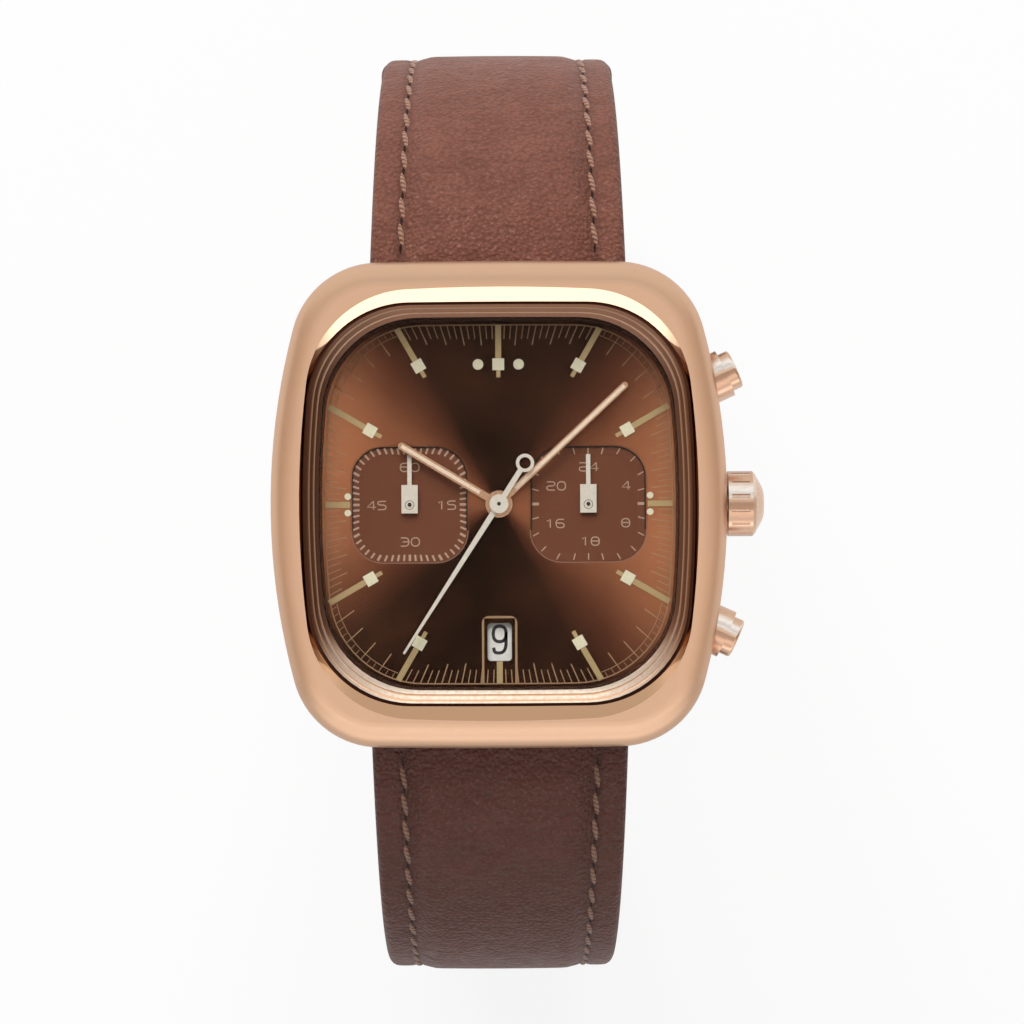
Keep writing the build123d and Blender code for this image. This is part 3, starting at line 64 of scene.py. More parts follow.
class Shader:
    """A node material with a few short ways to build procedural detail."""

    def __init__(self, name, color, rough, metal=0.0, **sockets):
        self.mat = bpy.data.materials.new(name)
        self.mat.use_nodes = True
        self.tree = self.mat.node_tree
        self.bsdf = self.tree.nodes["Principled BSDF"]
        self.out = self.tree.nodes["Material Output"]
        self.set("Base Color", (*color, 1))
        self.set("Roughness", rough)
        self.set("Metallic", metal)
        for key, value in sockets.items():
            self.set(key.replace("_", " "), value)
        self.coord = self.node("TexCoord").outputs["Object"]

    def set(self, socket, value):
        self.bsdf.inputs[socket].default_value = value

    def link(self, a, b):
        self.tree.links.new(a, b)

    def feed(self, value, socket):
        """Joins an input to another node's output, or gives it a value."""
        if isinstance(value, bpy.types.NodeSocket):
            self.link(value, socket)
        else:
            socket.default_value = value

    def node(self, kind, **inputs):
        n = self.tree.nodes.new("ShaderNode" + kind)
        for key, value in inputs.items():
            self.feed(value, n.inputs[key.replace("_", " ")])
        return n

    def math(self, operation, a, b=0.0):
        n = self.node("Math")
        n.operation = operation
        for socket, value in zip(n.inputs, (a, b)):
            self.feed(value, socket)
        return n.outputs[0]

    def parts(self, vector):
        """X, Y and Z of a vector, as sockets."""
        return self.node("SeparateXYZ", Vector=vector).outputs

    def normal(self):
        """X, Y and Z of the surface's direction, as sockets."""
        return self.parts(self.node("NewGeometry").outputs["Normal"])

    def stretch(self, x, y, z):
        return self.node("Mapping", Vector=self.coord, Scale=(x, y, z)).outputs[0]

    def noise(self, scale, detail=3.0, vector=None, rough=0.5, distort=0.0):
        n = self.node("TexNoise", Vector=vector or self.coord, Scale=scale, Detail=detail,
                      Roughness=rough, Distortion=distort)
        return n.outputs["Fac"]

    def ramp(self, value, *stops):
        n = self.node("ValToRGB", Fac=value)
        ramp = n.color_ramp
        while len(ramp.elements) < len(stops):
            ramp.elements.new(0.5)
        for element, (place, color) in zip(ramp.elements, stops):
            element.position = place
            element.color = (*color, 1) if len(color) == 3 else color
        return n.outputs["Color"]

    def span(self, value, low, high, to_low=0.0, to_high=1.0):
        return self.node("MapRange", Value=value, From_Min=low, From_Max=high, To_Min=to_low,
                         To_Max=to_high).outputs[0]

    def mix(self, fac, a, b, mode="MIX"):
        n = self.node("Mix")
        n.data_type = "RGBA"
        n.blend_type = mode
        for key, value in (("Factor", fac), ("A", a), ("B", b)):
            socket = [s for s in n.inputs if s.name == key and s.enabled][0]
            self.feed((*value, 1) if isinstance(value, tuple) else value, socket)
        return [s for s in n.outputs if s.enabled][0]

    def color(self, socket):
        self.link(socket, self.bsdf.inputs["Base Color"])

    def rough(self, socket):
        self.link(socket, self.bsdf.inputs["Roughness"])

    def bump(self, height, depth, strength=1.0):
        n = self.node("Bump", Height=height, Strength=strength, Distance=depth)
        old = self.bsdf.inputs["Normal"].links
        if old:
            self.link(old[0].from_socket, n.inputs["Normal"])
        self.link(n.outputs[0], self.bsdf.inputs["Normal"])


def rgb(r, g, b):
    """Linear colour of an sRGB colour given as 0 to 255."""
    def one(c):
        c /= 255
        return c / 12.92 if c <= 0.04045 else ((c + 0.055) / 1.055) ** 2.4
    return (one(r), one(g), one(b))


def toned(color, factor):
    return tuple(factor * c for c in color)


def polished_gold(name, base, rough):
    """Polished metal with a faint cloud in its colour."""
    s = Shader(name, base, rough, 1.0)
    cloud = s.noise(60, 4)
    s.color(s.mix(s.span(cloud, 0.3, 0.7), toned(base, 0.95), base))
    s.rough(s.span(s.noise(900, 5, s.stretch(1, 6, 1)), 0.3, 0.7, rough * 0.8, rough * 1.25))
    s.bump(s.noise(2600, 4), 0.0000012)
    return s.mat


def turned_gold(name, rough):
    """Gold of the crown and pushers, with painted reflections: bright and dark bands by how far a face leans
    towards 12 or 6 o'clock, and a paler tone on faces that look along +X.
    """
    s = Shader(name, GOLD, rough, 1.0)
    x, y, _ = s.normal()
    # Painted reflection: bright and dark bands by the way the face leans
    tone = s.ramp(s.span(y, -1.0, 1.0), (0.0, (0.45, 0.28, 0.19)), (0.08, (0.7, 0.46, 0.33)),
                  (0.2, (0.56, 0.35, 0.24)), (0.3, (0.4, 0.24, 0.16)), (0.42, (0.44, 0.26, 0.17)),
                  (0.5, (0.52, 0.32, 0.21)), (0.55, (0.72, 0.5, 0.36)), (0.6, (1.0, 0.93, 0.86)),
                  (0.74, (1.0, 0.9, 0.8)), (0.83, (0.7, 0.45, 0.3)), (0.95, (0.6, 0.37, 0.25)),
                  (1.0, (0.35, 0.2, 0.13)))
    # Painted reflection: faces that look along +X, out to the crown's end, turn paler
    cap = s.span(x, 0.5, 0.85)
    tone = s.mix(cap, tone, (0.72, 0.5, 0.37))
    grain = s.noise(1500, 4, s.stretch(1, 3, 3))
    s.color(s.mix(s.span(grain, 0.35, 0.65, 0.0, 0.12), tone, (0.3, 0.18, 0.12)))
    s.rough(s.span(grain, 0.3, 0.7, rough * 0.9, rough * 1.1))
    return s.mat


def crystal_coat(name, base, front):
    """Metallised crystal edge, dark beside the dial, with painted shade and reflection by the way each face
    leans: darkest towards 9 o'clock, a little darker towards 3 o'clock, and pale towards 6 o'clock.
    """
    s = Shader(name, base, 0.2, 1.0)
    x, y, _ = s.normal()
    # Painted shade on faces that lean towards 9 and 3 o'clock, and a painted reflection, the front colour, on
    # faces that lean towards 6 o'clock
    tone = s.mix(s.span(x, -0.1, -0.5), base, toned(base, 0.42))
    tone = s.mix(s.span(x, 0.1, 0.5), tone, toned(base, 0.75))
    tone = s.mix(s.span(y, -0.2, -0.5), tone, front)
    grain = s.noise(2600, 4)
    s.color(s.mix(s.span(grain, 0.35, 0.65, 0.0, 0.2), tone, toned(base, 0.6)))
    s.rough(s.span(grain, 0.3, 0.7, 0.16, 0.24))
    return s.mat


def case_gold(base):
    """Satin on the outward faces, mirror polish on the bevel that looks inwards, with painted shade darker
    down the flanks and on faces that lean towards 6 o'clock, and a painted reflection on the bevel, pale
    except where it leans towards 12 o'clock.
    """
    s = Shader("case_gold", base, 0.3, 1.0)
    x, y, z = s.parts(s.coord)
    way_x, way_y, _ = s.normal()
    inward = s.math("ADD", s.math("MULTIPLY", way_x, x), s.math("MULTIPLY", way_y, y))
    polish = s.span(inward, -0.0008, -0.003)
    satin = s.span(s.noise(1400, 4), 0.3, 0.7, 0.4, 0.44)
    s.rough(s.math("ADD", s.math("MULTIPLY", satin, s.math("SUBTRACT", 1.0, polish)),
                   s.math("MULTIPLY", polish, 0.08)))
    # Painted shade: the colour darkens and reddens down the flanks, below the top
    top = s.span(z, 0.0058, 0.0086)
    cloud = s.noise(70, 4)
    warm = s.mix(s.span(cloud, 0.3, 0.7), toned(base, 0.96), base)
    # Painted shade on faces that lean towards 6 o'clock
    warm = s.mix(s.span(way_y, -0.03, -0.3), warm, toned(base, 0.7))
    # Painted reflection on the polished bevel: pale, and more orange where it leans towards 12 o'clock
    mirror = s.mix(s.span(way_y, 0.02, 0.2), (0.78, 0.53, 0.36), (0.80, 0.48, 0.28))
    warm = s.mix(polish, warm, mirror)
    s.color(s.mix(top, tuple(c * k for c, k in zip(base, (0.80, 0.72, 0.68))), warm))
    return s.mat


def brushed(name, base, rough, stretch=(1, 30, 30), scale=260, depth=0.000003, metal=1.0):
    """Metal with fine streaks along one direction."""
    s = Shader(name, base, rough, metal)
    streak = s.noise(scale, 5, s.stretch(*stretch))
    s.color(s.mix(s.span(streak, 0.3, 0.7), toned(base, 0.82), base))
    s.rough(s.span(streak, 0.3, 0.7, rough * 0.8, rough * 1.3))
    s.bump(streak, depth)
    return s.mat


def plain(name, base, rough, grain=1500, depth=0.000004, **sockets):
    """Paint, ink, plastic or rubber with a fine grain."""
    s = Shader(name, base, rough, **sockets)
    speck = s.noise(grain, 4)
    s.color(s.mix(s.span(speck, 0.3, 0.7), toned(base, 0.88), base))
    s.rough(s.span(speck, 0.3, 0.7, rough * 0.9, min(1.0, rough * 1.15)))
    s.bump(speck, depth)
    return s.mat


def leather(name, light, dark, pebble, wrinkle, rough, shine):
    """Leather with pebbles, folds and creases, with painted shade in the pebble valleys, folds and creases
    and beside the stitches, and painted glints near the case.
    """
    s = Shader(name, light, rough)
    s.set("Specular IOR Level", shine)
    push = s.node("TexNoise", Vector=s.coord, Scale=1100.0, Detail=2.0).outputs["Color"]
    warped = s.node("VectorMath")
    warped.operation = "MULTIPLY_ADD"
    s.link(push, warped.inputs[0])
    warped.inputs[1].default_value = (0.0003,) * 3
    s.link(s.coord, warped.inputs[2])
    cells = s.node("TexVoronoi", Vector=warped.outputs[0], Scale=2900.0)
    cells.feature = "SMOOTH_F1"
    cells.inputs["Smoothness"].default_value = 0.6
    grain = cells.outputs["Distance"]
    rough_grain = s.noise(1300, 4, s.stretch(0.6, 1.3, 1.3))
    folds = s.noise(330, 5, s.stretch(0.4, 1.5, 1.5), distort=0.8)
    patch = s.noise(260, 4, distort=0.3)
    base = s.mix(s.span(patch, 0.32, 0.68), dark, light)
    # Painted shade in the pebble valleys
    base = s.mix(s.span(grain, 0.2, 0.75, 0.0, 0.55), base, toned(dark, 0.45))
    # Painted shade in the low parts of the folds and along thin crease lines
    base = s.mix(s.span(folds, 0.52, 0.34, 0.0, 0.25), base, toned(dark, 0.5))
    crease = s.span(s.math("ABSOLUTE", s.math("SUBTRACT", folds, 0.5)), 0.014, 0.0)
    base = s.mix(s.math("MULTIPLY", crease, 0.3), base, toned(dark, 0.45))
    # Painted glints: light specks near the case
    painted_glint_zone = s.span(s.math("ABSOLUTE", s.parts(s.coord)[1]), 0.034, 0.022)
    speck = s.span(s.noise(3000, 2), 0.57, 0.7, 0.0, 0.42)
    base = s.mix(s.math("MULTIPLY", speck, painted_glint_zone), base, tuple(1.5 * c + 0.07 for c in light))
    # Painted shade beside the stitch line, from the groove attribute on the skin's points
    groove = s.node("Attribute")
    groove.attribute_name = "groove"
    s.color(s.mix(s.math("MULTIPLY", groove.outputs["Fac"], 0.6), base, toned(dark, 0.4)))
    s.rough(s.span(rough_grain, 0.3, 0.7, rough * 0.85, rough * 1.2))
    s.bump(folds, wrinkle * 2.0)
    s.bump(rough_grain, wrinkle)
    s.bump(s.math("MULTIPLY", grain, -1.0), pebble)
    return s.mat


def dial_lacquer():
    """Brown sunburst with fine rays, its sheen painted in: bright towards 3 and 9 o'clock, dark towards 12
    and 6 o'clock.
    """
    s = Shader("dial_sunburst", (0.1, 0.04, 0.02), 0.42, 1.0)
    x, y, _ = s.parts(s.coord)
    angle = s.math("ARCTAN2", x, y)
    turn = s.math("ADD", s.math("DIVIDE", angle, 2 * math.pi), 0.5)
    dark, deep = rgb(34, 21, 15), rgb(42, 26, 19)
    brown, copper, glow = rgb(86, 50, 36), rgb(126, 78, 55), rgb(138, 86, 60)
    # Painted sheen of the sunburst: dark at 12 and 6 o'clock, brightest a little above 9 and a little below 3
    # o'clock
    sweep = s.ramp(turn, (0.0, dark), (0.08, dark), (0.13, deep), (0.165, brown), (0.22, copper),
                   (0.31, glow), (0.35, copper), (0.39, brown), (0.425, deep), (0.46, dark), (0.5, dark),
                   (0.58, deep), (0.625, brown), (0.68, copper), (0.79, glow), (0.84, copper),
                   (0.885, brown), (0.925, deep), (0.965, dark), (1.0, dark))
    rays = s.node("CombineXYZ", X=s.math("MULTIPLY", turn, 60.0))
    lines = s.noise(1.0, 4, rays.outputs[0], rough=0.7)
    sweep = s.mix(s.span(lines, 0.3, 0.7, 0.0, 0.14), sweep, toned(deep, 0.5))
    cloud = s.noise(160, 3)
    sweep = s.mix(s.span(cloud, 0.4, 0.8, 0.0, 0.1), sweep, toned(copper, 1.2))
    # Painted highlight: the colour is brightened towards the dial's edges at 3 and 9 o'clock
    edge = s.span(s.math("ABSOLUTE", x), 0.009, 0.0148)
    s.color(s.mix(edge, sweep, (1.75, 1.85, 1.8), "MULTIPLY"))
    s.rough(s.span(lines, 0.3, 0.7, 0.38, 0.46))
    return s.mat


def clear_crystal():
    """Clear glass that lets the light of the lamps reach the dial."""
    s = Shader("clear_crystal", (0.98, 0.97, 0.95), 0.0, Transmission_Weight=1.0, IOR=1.46)
    s.set("Specular Tint", (0.05, 0.04, 0.03, 1))
    clear = s.node("BsdfTransparent", Color=(0.97, 0.96, 0.94, 1))
    path = s.node("LightPath")
    hidden = s.math("MAXIMUM", path.outputs["Is Shadow Ray"], path.outputs["Is Diffuse Ray"])
    mix = s.node("MixShader", Fac=hidden)
    s.link(s.bsdf.outputs[0], mix.inputs[1])
    s.link(clear.outputs[0], mix.inputs[2])
    s.link(mix.outputs[0], s.out.inputs["Surface"])
    return s.mat


def coil_wire():
    """Copper wire, turn beside turn, with painted shade between the turns."""
    s = Shader("copper_wire", (0.72, 0.30, 0.14), 0.3, 1.0)
    wave = s.node("TexWave", Vector=s.coord, Scale=2400.0)
    wave.bands_direction = "X"
    # Painted shade: darker between the turns, where the bump is low
    s.color(s.mix(wave.outputs["Fac"], (0.35, 0.13, 0.06), (0.80, 0.36, 0.18)))
    s.bump(wave.outputs["Fac"], 0.00004)
    return s.mat


def board_lacquer():
    """Green board with light tracks."""
    s = Shader("board_lacquer", (0.02, 0.12, 0.06), 0.35)
    cells = s.node("TexVoronoi", Vector=s.coord, Scale=700.0)
    cells.feature = "DISTANCE_TO_EDGE"
    cells.distance = "EUCLIDEAN"
    tracks = s.span(cells.outputs["Distance"], 0.05, 0.09)
    s.color(s.mix(tracks, (0.05, 0.28, 0.13), (0.015, 0.11, 0.05)))
    s.bump(tracks, -0.00001)
    return s.mat


def thread_fibre():
    """Twisted thread, with the twist along its own coordinates: lighter and darker bands that are a bump and
    also painted highlight and shade on the plies.
    """
    s = Shader("thread_fibre", rgb(150, 108, 86), 0.6)
    s.set("Sheen Weight", 0.3)
    uv = s.node("TexCoord").outputs["UV"]
    wave = s.node("TexWave", Vector=uv, Scale=0.9, Distortion=1.5)
    wave.bands_direction = "DIAGONAL"
    # Partly painted: the twist's lighter and darker bands paint ply highlight and shade, besides the bump
    s.color(s.mix(s.span(wave.outputs["Fac"], 0.1, 0.9), rgb(116, 76, 60), rgb(166, 122, 98)))
    s.bump(wave.outputs["Fac"], 0.00007)
    s.bump(s.noise(9000, 3), 0.00002)
    return s.mat


rose_gold = polished_gold("rose_gold", GOLD, 0.14)
# Crown and pushers: gold with painted reflection bands
crown_gold_painted_reflections = turned_gold("crown_gold_painted_reflections", 0.24)
hand_gold = polished_gold("hand_gold", (0.46, 0.27, 0.17), 0.24)
flange_satin = brushed("flange_satin", rgb(58, 33, 24), 0.4, (30, 30, 1), 300, metal=0.5)
# The beads get a paler copy of the coat than the band between them, which paints them as fine highlight lines
bead_coat = crystal_coat("bead_coat", (0.46, 0.29, 0.20), (0.60, 0.54, 0.45))
band_coat = crystal_coat("band_coat", (0.27, 0.135, 0.085), (0.52, 0.43, 0.34))
steel = brushed("brushed_steel", (0.55, 0.55, 0.56), 0.3)
bright_steel = polished_gold("bright_steel", (0.62, 0.62, 0.63), 0.14)
brass = brushed("machined_brass", (0.66, 0.48, 0.22), 0.32, (6, 6, 1), 500)
nickel = brushed("nickel_plate", (0.60, 0.56, 0.48), 0.3, (1, 8, 1), 700)
marker_gold = plain("marker_gold", rgb(182, 158, 114), 0.42, 3000, Metallic=0.3)
tick_ink = plain("tick_ink", rgb(168, 134, 102), 0.6, 4000)
pale_ink = plain("pale_ink", rgb(186, 156, 136), 0.6, 4000)
pin_grey = plain("pin_grey", rgb(120, 108, 98), 0.5, 4000)
lume_paint = plain("lume_paint", rgb(238, 232, 205), 0.7, 5000, 0.00003)
hand_white = plain("hand_white", rgb(224, 216, 204), 0.45, 3000)
inlay_cream = plain("inlay_cream", rgb(244, 220, 198), 0.5, 3000)
subdial_lacquer = plain("subdial_lacquer", rgb(114, 70, 52), 0.6, 2500, 0.000006, Specular_IOR_Level=0.15)
date_print = plain("date_print", rgb(236, 236, 234), 0.6)
black_ink = plain("black_ink", rgb(22, 22, 24), 0.55)
rubber = plain("seal_rubber", (0.02, 0.02, 0.02), 0.6)
brown_seal = plain("brown_seal", rgb(84, 50, 37), 0.9, Specular_IOR_Level=0.0)
# Painted shadow of the sub-dials' recess walls
painted_recess_shadow = plain("painted_recess_shadow", rgb(40, 22, 16), 0.7, 4000)
# Painted highlight along the sub-dials' lower edges
painted_rim_highlight = plain("painted_rim_highlight", rgb(150, 112, 95), 0.6, 4000)
moulding = plain("moulded_plastic", (0.66, 0.66, 0.63), 0.5)
strap_leather = leather("strap_leather", rgb(124, 77, 62), rgb(114, 68, 54), 0.00014, 0.00005, 0.5, 0.3)
# The tail half's leather is a darker copy of the strap leather, painted shade
tail_leather_painted_shade = leather("tail_leather_painted_shade", rgb(100, 57, 45), rgb(92, 51, 40), 0.00014, 0.00005, 0.5, 0.25)
edge_paint = plain("edge_paint", rgb(104, 62, 48), 0.45, 1200, 0.00002)
lining_suede = leather("lining_suede", rgb(176, 132, 98), rgb(156, 112, 82), 0.00003, 0.00003, 0.85, 0.1)
stitch_thread = thread_fibre()
# Dark discs at the stitch ends, painted shade of the stitch holes
painted_hole_shade = plain("painted_hole_shade", rgb(38, 20, 15), 0.9)

LOOKS = (
    (case_gold(GOLD), "case_body"), (clear_crystal(), "crystal"), (dial_lacquer(), "dial"),
    (crown_gold_painted_reflections, "crown pusher_upper pusher_lower pusher_tube_upper pusher_tube_lower"),
    (rose_gold, "buckle_frame buckle_tongue crown_tube"), (hand_gold, "hour_hand minute_hand"),
    (flange_satin, "rehaut"), (brown_seal, "crystal_gasket"), (rubber, "case_back_gasket crown_gasket"),
    (steel, "case_back stem setting_lever pusher_clip_upper pusher_clip_lower stator"),
    (bright_steel, "case_back_screws spring_bars buckle_bar pusher_spring_upper pusher_spring_lower rotor"
                   " movement_screws battery"),
    (subdial_lacquer, "minute_subdial day_subdial"), (marker_gold, "hour_markers"), (tick_ink, "date_frame"),
    (lume_paint, "marker_lume"), (inlay_cream, "hour_hand_inlay minute_hand_inlay"),
    (hand_white, "chrono_hand counter_hand day_hand"), (date_print, "date_disc"),
    (nickel, "main_plate train_bridge"), (moulding, "movement_ring"),
    (brass, "cannon_pinion minute_wheel hour_wheel day_idler day_wheel chrono_wheel counter_wheel"),
    (board_lacquer(), "circuit_board"), (coil_wire(), "motor_coil"),
)
for look, names in LOOKS:
    for name in names.split():
        mesh = nodes[name].data
        mesh.materials.clear()
        mesh.materials.append(look)


# Mesh building

def piece(name, body, points, faces, looks, indices=None, smooth=True):
    """A mesh in millimetres that rides on a CAD body."""
    mesh = bpy.data.meshes.new(name)
    mesh.from_pydata([(x * MM, y * MM, z * MM) for x, y, z in points], [], faces)
    for look in looks:
        mesh.materials.append(look)
    if indices:
        mesh.polygons.foreach_set("material_index", indices)
    mesh.polygons.foreach_set("use_smooth", [smooth] * len(mesh.polygons))
    mesh.validate()
    mesh.update()
    obj = bpy.data.objects.new(name, mesh)
    scene.collection.objects.link(obj)
    if body:
        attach(obj, body)
    return obj


def ring_faces(rings, size):
    """Faces between closed rings of points, each ring on the one before."""
    return [(r * size + i, r * size + (i + 1) % size, (r + 1) * size + (i + 1) % size, (r + 1) * size + i)
            for r in range(rings - 1) for i in range(size)]


def arc(x, y, radius, first, last, steps):
    """Points on an arc round x and y, from the first angle to the last."""
    turns = [first + (last - first) * i / steps for i in range(steps + 1)]
    return [(x + radius * math.cos(t), y + radius * math.sin(t)) for t in turns]


def circle(radius, steps):
    return arc(0, 0, radius, 0, 2 * math.pi, steps)[:-1]


def outline(half_width, half_length, corner, side_rise, end_rise, steps=14):
    """Points round a cushion outline with bowed sides and round corners, counterclockwise."""
    corner_x = half_width - side_rise
    corner_y = half_length - end_rise
    side_radius = (corner_y ** 2 + side_rise ** 2) / (2 * side_rise)
    end_radius = (corner_x ** 2 + end_rise ** 2) / (2 * end_rise)
    side_x = half_width - side_radius
    end_y = half_length - end_radius
    a, b = side_radius - corner, end_radius - corner
    reach = math.hypot(side_x, end_y)
    along = (a * a - b * b + reach * reach) / (2 * reach)
    off = math.sqrt(a * a - along * along)
    ux, uy = -side_x / reach, end_y / reach
    best = max(((side_x + along * ux + sign * off * -uy, along * uy + sign * off * ux)
                for sign in (1, -1)), key=lambda p: p[0] + p[1])
    start = math.atan2(best[1], best[0] - side_x)
    stop = math.atan2(best[1] - end_y, best[0])
    quarter = arc(side_x, 0, side_radius, 0, start, steps)[:-1] + arc(*best, corner, start, stop, steps)
    quarter += arc(0, end_y, end_radius, stop, math.pi / 2, steps)[1:]
    upper = quarter + [(-x, y) for x, y in reversed(quarter[:-1])]
    return upper + [(-x, -y) for x, y in upper[1:-1]]


WINDOW_HALF_WIDTH, WINDOW_HALF_LENGTH, WINDOW_CORNER = 14.7, 15.2, 8.0
SIDE_RISE_SHARE, END_RISE = 0.085, 0.15


def window(margin):
    """Outline of the opening over the dial, widened by a margin."""
    half = WINDOW_HALF_WIDTH + margin
    return outline(half, WINDOW_HALF_LENGTH + margin, WINDOW_CORNER + 0.4 * margin,
                   half * SIDE_RISE_SHARE, END_RISE)


def rounded_box(half_x, half_y, corner, steps=8):
    """Points round a rounded rectangle, counterclockwise from the right side."""
    points = []
    for cx, cy, first in ((1, 1, 0), (-1, 1, 90), (-1, -1, 180), (1, -1, 270)):
        points += arc(cx * (half_x - corner), cy * (half_y - corner), corner, math.radians(first),
                      math.radians(first + 90), steps)
    return points


def soften(points, rounds, closed):
    """Rounds the corners of a line, keeping its ends where it is open."""
    for _ in range(rounds):
        out = [] if closed else [points[0]]
        pairs = zip(points, points[1:] + points[:1]) if closed else zip(points, points[1:])
        for (ax, ay), (bx, by) in pairs:
            out.append((0.75 * ax + 0.25 * bx, 0.75 * ay + 0.25 * by))
            out.append((0.25 * ax + 0.75 * bx, 0.25 * ay + 0.75 * by))
        if not closed:
            out.append(points[-1])
        points = out
    return points


class Print:
    """Flat printed lines gathered into one mesh."""

    def __init__(self):
        self.points, self.faces = [], []

    def line(self, points, width, height, closed=False):
        """A flat line of one width; height is a number or a function of x and y."""
        n = len(points)
        first = len(self.points)
        for i, (x, y) in enumerate(points):
            a = points[i - 1] if closed or i else points[i]
            b = points[(i + 1) % n] if closed or i < n - 1 else points[i]
            dx, dy = b[0] - a[0], b[1] - a[1]
            size = math.hypot(dx, dy) or 1
            nx, ny = -dy / size * width / 2, dx / size * width / 2
            for sign in (1, -1):
                px, py = x + sign * nx, y + sign * ny
                self.points.append((px, py, height(px, py) if callable(height) else height))
        for i in range(n if closed else n - 1):
            j = (i + 1) % n
            self.faces.append((first + 2 * i, first + 2 * i + 1, first + 2 * j + 1, first + 2 * j))

    def digits(self, text, x, y, cell, gap, stroke, height, glyphs, rounds, turn=0.0):
        """A number centred on x and y, then turned clockwise round the dial's middle."""
        width, tall = cell
        total = len(text) * width + (len(text) - 1) * gap
        for k, char in enumerate(text):
            left = x - total / 2 + k * (width + gap)
            for path in glyphs[char]:
                closed = path[0] == path[-1]
                path = path[:-1] if closed else path
                path = soften(path, rounds, closed) if len(path) > 3 else path
                line = []
                for u, v in path:
                    px, py = left + u * width, y + (v - 0.5) * tall
                    c, s = math.cos(turn), math.sin(turn)
                    line.append((c * px + s * py, c * py - s * px))
                self.line(line, stroke, height, closed)

    def make(self, name, body, look):
        return piece(name, body, self.points, self.faces, [look], smooth=False)


# Digits as strokes in a cell of 1 by 1; a closed stroke ends on its first point
SQUARE = {
    "0": [[(0, 0), (1, 0), (1, 1), (0, 1), (0, 0)]],
    "1": [[(0.2, 0.78), (0.6, 1), (0.6, 0)]],
    "2": [[(0, 1), (1, 1), (1, 0.5), (0, 0.5), (0, 0), (1, 0)]],
    "3": [[(0, 1), (1, 1), (1, 0), (0, 0)], [(0.25, 0.52), (0.95, 0.52)]],
    "4": [[(0.78, 0), (0.78, 1), (0.7, 1)], [(0.74, 1), (0, 0.3), (1.05, 0.3)]],
    "5": [[(1, 1), (0, 1), (0, 0.56), (1, 0.56), (1, 0), (0, 0)]],
    "6": [[(1, 1), (0, 1), (0, 0), (1, 0), (1, 0.56), (0, 0.56)]],
    "8": [[(0, 0), (1, 0), (1, 1), (0, 1), (0, 0)], [(0.05, 0.52), (0.95, 0.52)]],
}
NINE_TAIL = [(1, 0.76), (1, 0.0), (0.12, -0.06), (0.02, 0.17)]
ROUND = {
    "0": SQUARE["0"],
    "1": [[(0.15, 0.8), (0.55, 1), (0.55, 0)]],
    "2": [[(0, 0.78), (0.02, 1), (1, 1.02), (1, 0.55), (0, 0)], [(0, 0), (1, 0)]],
    "3": [[(0.02, 0.84), (0.1, 1.02), (1, 1.02), (1, 0.53), (0.4, 0.53)],
          [(0.4, 0.53), (1, 0.53), (1, -0.02), (0.1, -0.02), (0, 0.18)]],
    "4": [[(0.76, 0), (0.76, 1)], [(0.76, 1), (0, 0.28), (1, 0.28)]],
    "5": [[(0.95, 1), (0.14, 1)], [(0.14, 1), (0.06, 0.55)],
          [(0.06, 0.55), (1, 0.68), (1, -0.02), (0.1, -0.02), (0, 0.16)]],
    "6": [[(0, 0), (1, 0), (1, 0.6), (0, 0.6), (0, 0)], [(1 - u, 1 - v) for u, v in NINE_TAIL]],
    "7": [[(0, 1), (1, 1)], [(1, 1), (0.35, 0)]],
    "8": [[(0.06, 0.53), (0.94, 0.53), (0.94, 1), (0.06, 1), (0.06, 0.53)],
          [(0, 0), (1, 0), (1, 0.53), (0, 0.53), (0, 0)]],
    "9": [[(0, 0.4), (1, 0.4), (1, 1), (0, 1), (0, 0.4)], NINE_TAIL],
}


# Dial: border line, minute track and the two sub-dials

DIAL = 6.5
FLOOR = 6.3
INK = 0.014
SUB_X, SUB_HALF, SUB_CORNER = 7.57, 4.9, 2.7
BORDER_WIDTH = 0.11
RAIL_INSET, RAIL_WIDTH = 0.5, 0.06
# Length and width of the track's ticks, in the corners and along the sides
CORNER_MINUTE, CORNER_SMALL = (1.9, 0.09), (0.5, 0.05)
SIDE_MINUTE, SIDE_SMALL = (1.75, 0.1), (1.2, 0.085)


def ray(points, angle):
    """Distance from the middle to a closed outline, along a dial angle in degrees."""
    dx, dy = math.sin(math.radians(angle)), math.cos(math.radians(angle))
    best = 0
    for (ax, ay), (bx, by) in zip(points, points[1:] + points[:1]):
        across = dx * (by - ay) - dy * (bx - ax)
        if abs(across) < 1e-9:
            continue
        t = (ax * (by - ay) - ay * (bx - ax)) / across
        u = (ax * dy - ay * dx) / across
        if t > 0 and -1e-6 <= u <= 1 + 1e-6:
            best = max(best, t)
    return best


def radial(mark, points, angle, start, stop, width, height, pivot=(0, 0)):
    """A tick between two distances inside an outline, pointing to its middle."""
    edge = ray(points, angle)
    dx, dy = math.sin(math.radians(angle)), math.cos(math.radians(angle))
    mark.line([(pivot[0] + dx * (edge - d), pivot[1] + dy * (edge - d)) for d in (start, stop)],
              width, height)


border = window(0)
rail = window(-RAIL_INSET)
track = Print()
track.line(border, BORDER_WIDTH, DIAL + INK, closed=True)
for angle in range(0, 360, 2):
    if angle % 30 == 0:
        continue
    minute = angle % 6 == 0
    if 30 < angle % 90 < 60:
        ticks = (CORNER_SMALL, CORNER_MINUTE) if minute else (CORNER_SMALL,)
    else:
        ticks = (SIDE_MINUTE,) if minute else (SIDE_SMALL,)
    for length, width in ticks:
        radial(track, border, angle, 0, length, width, DIAL + INK)
for quarter in range(4):
    bend = [(x, y) for x, y in rail if 30 < math.degrees(math.atan2(x, y)) % 360 - 90 * quarter < 60]
    track.line(bend, RAIL_WIDTH, DIAL + INK)
track.make("minute_track", "case", tick_ink)


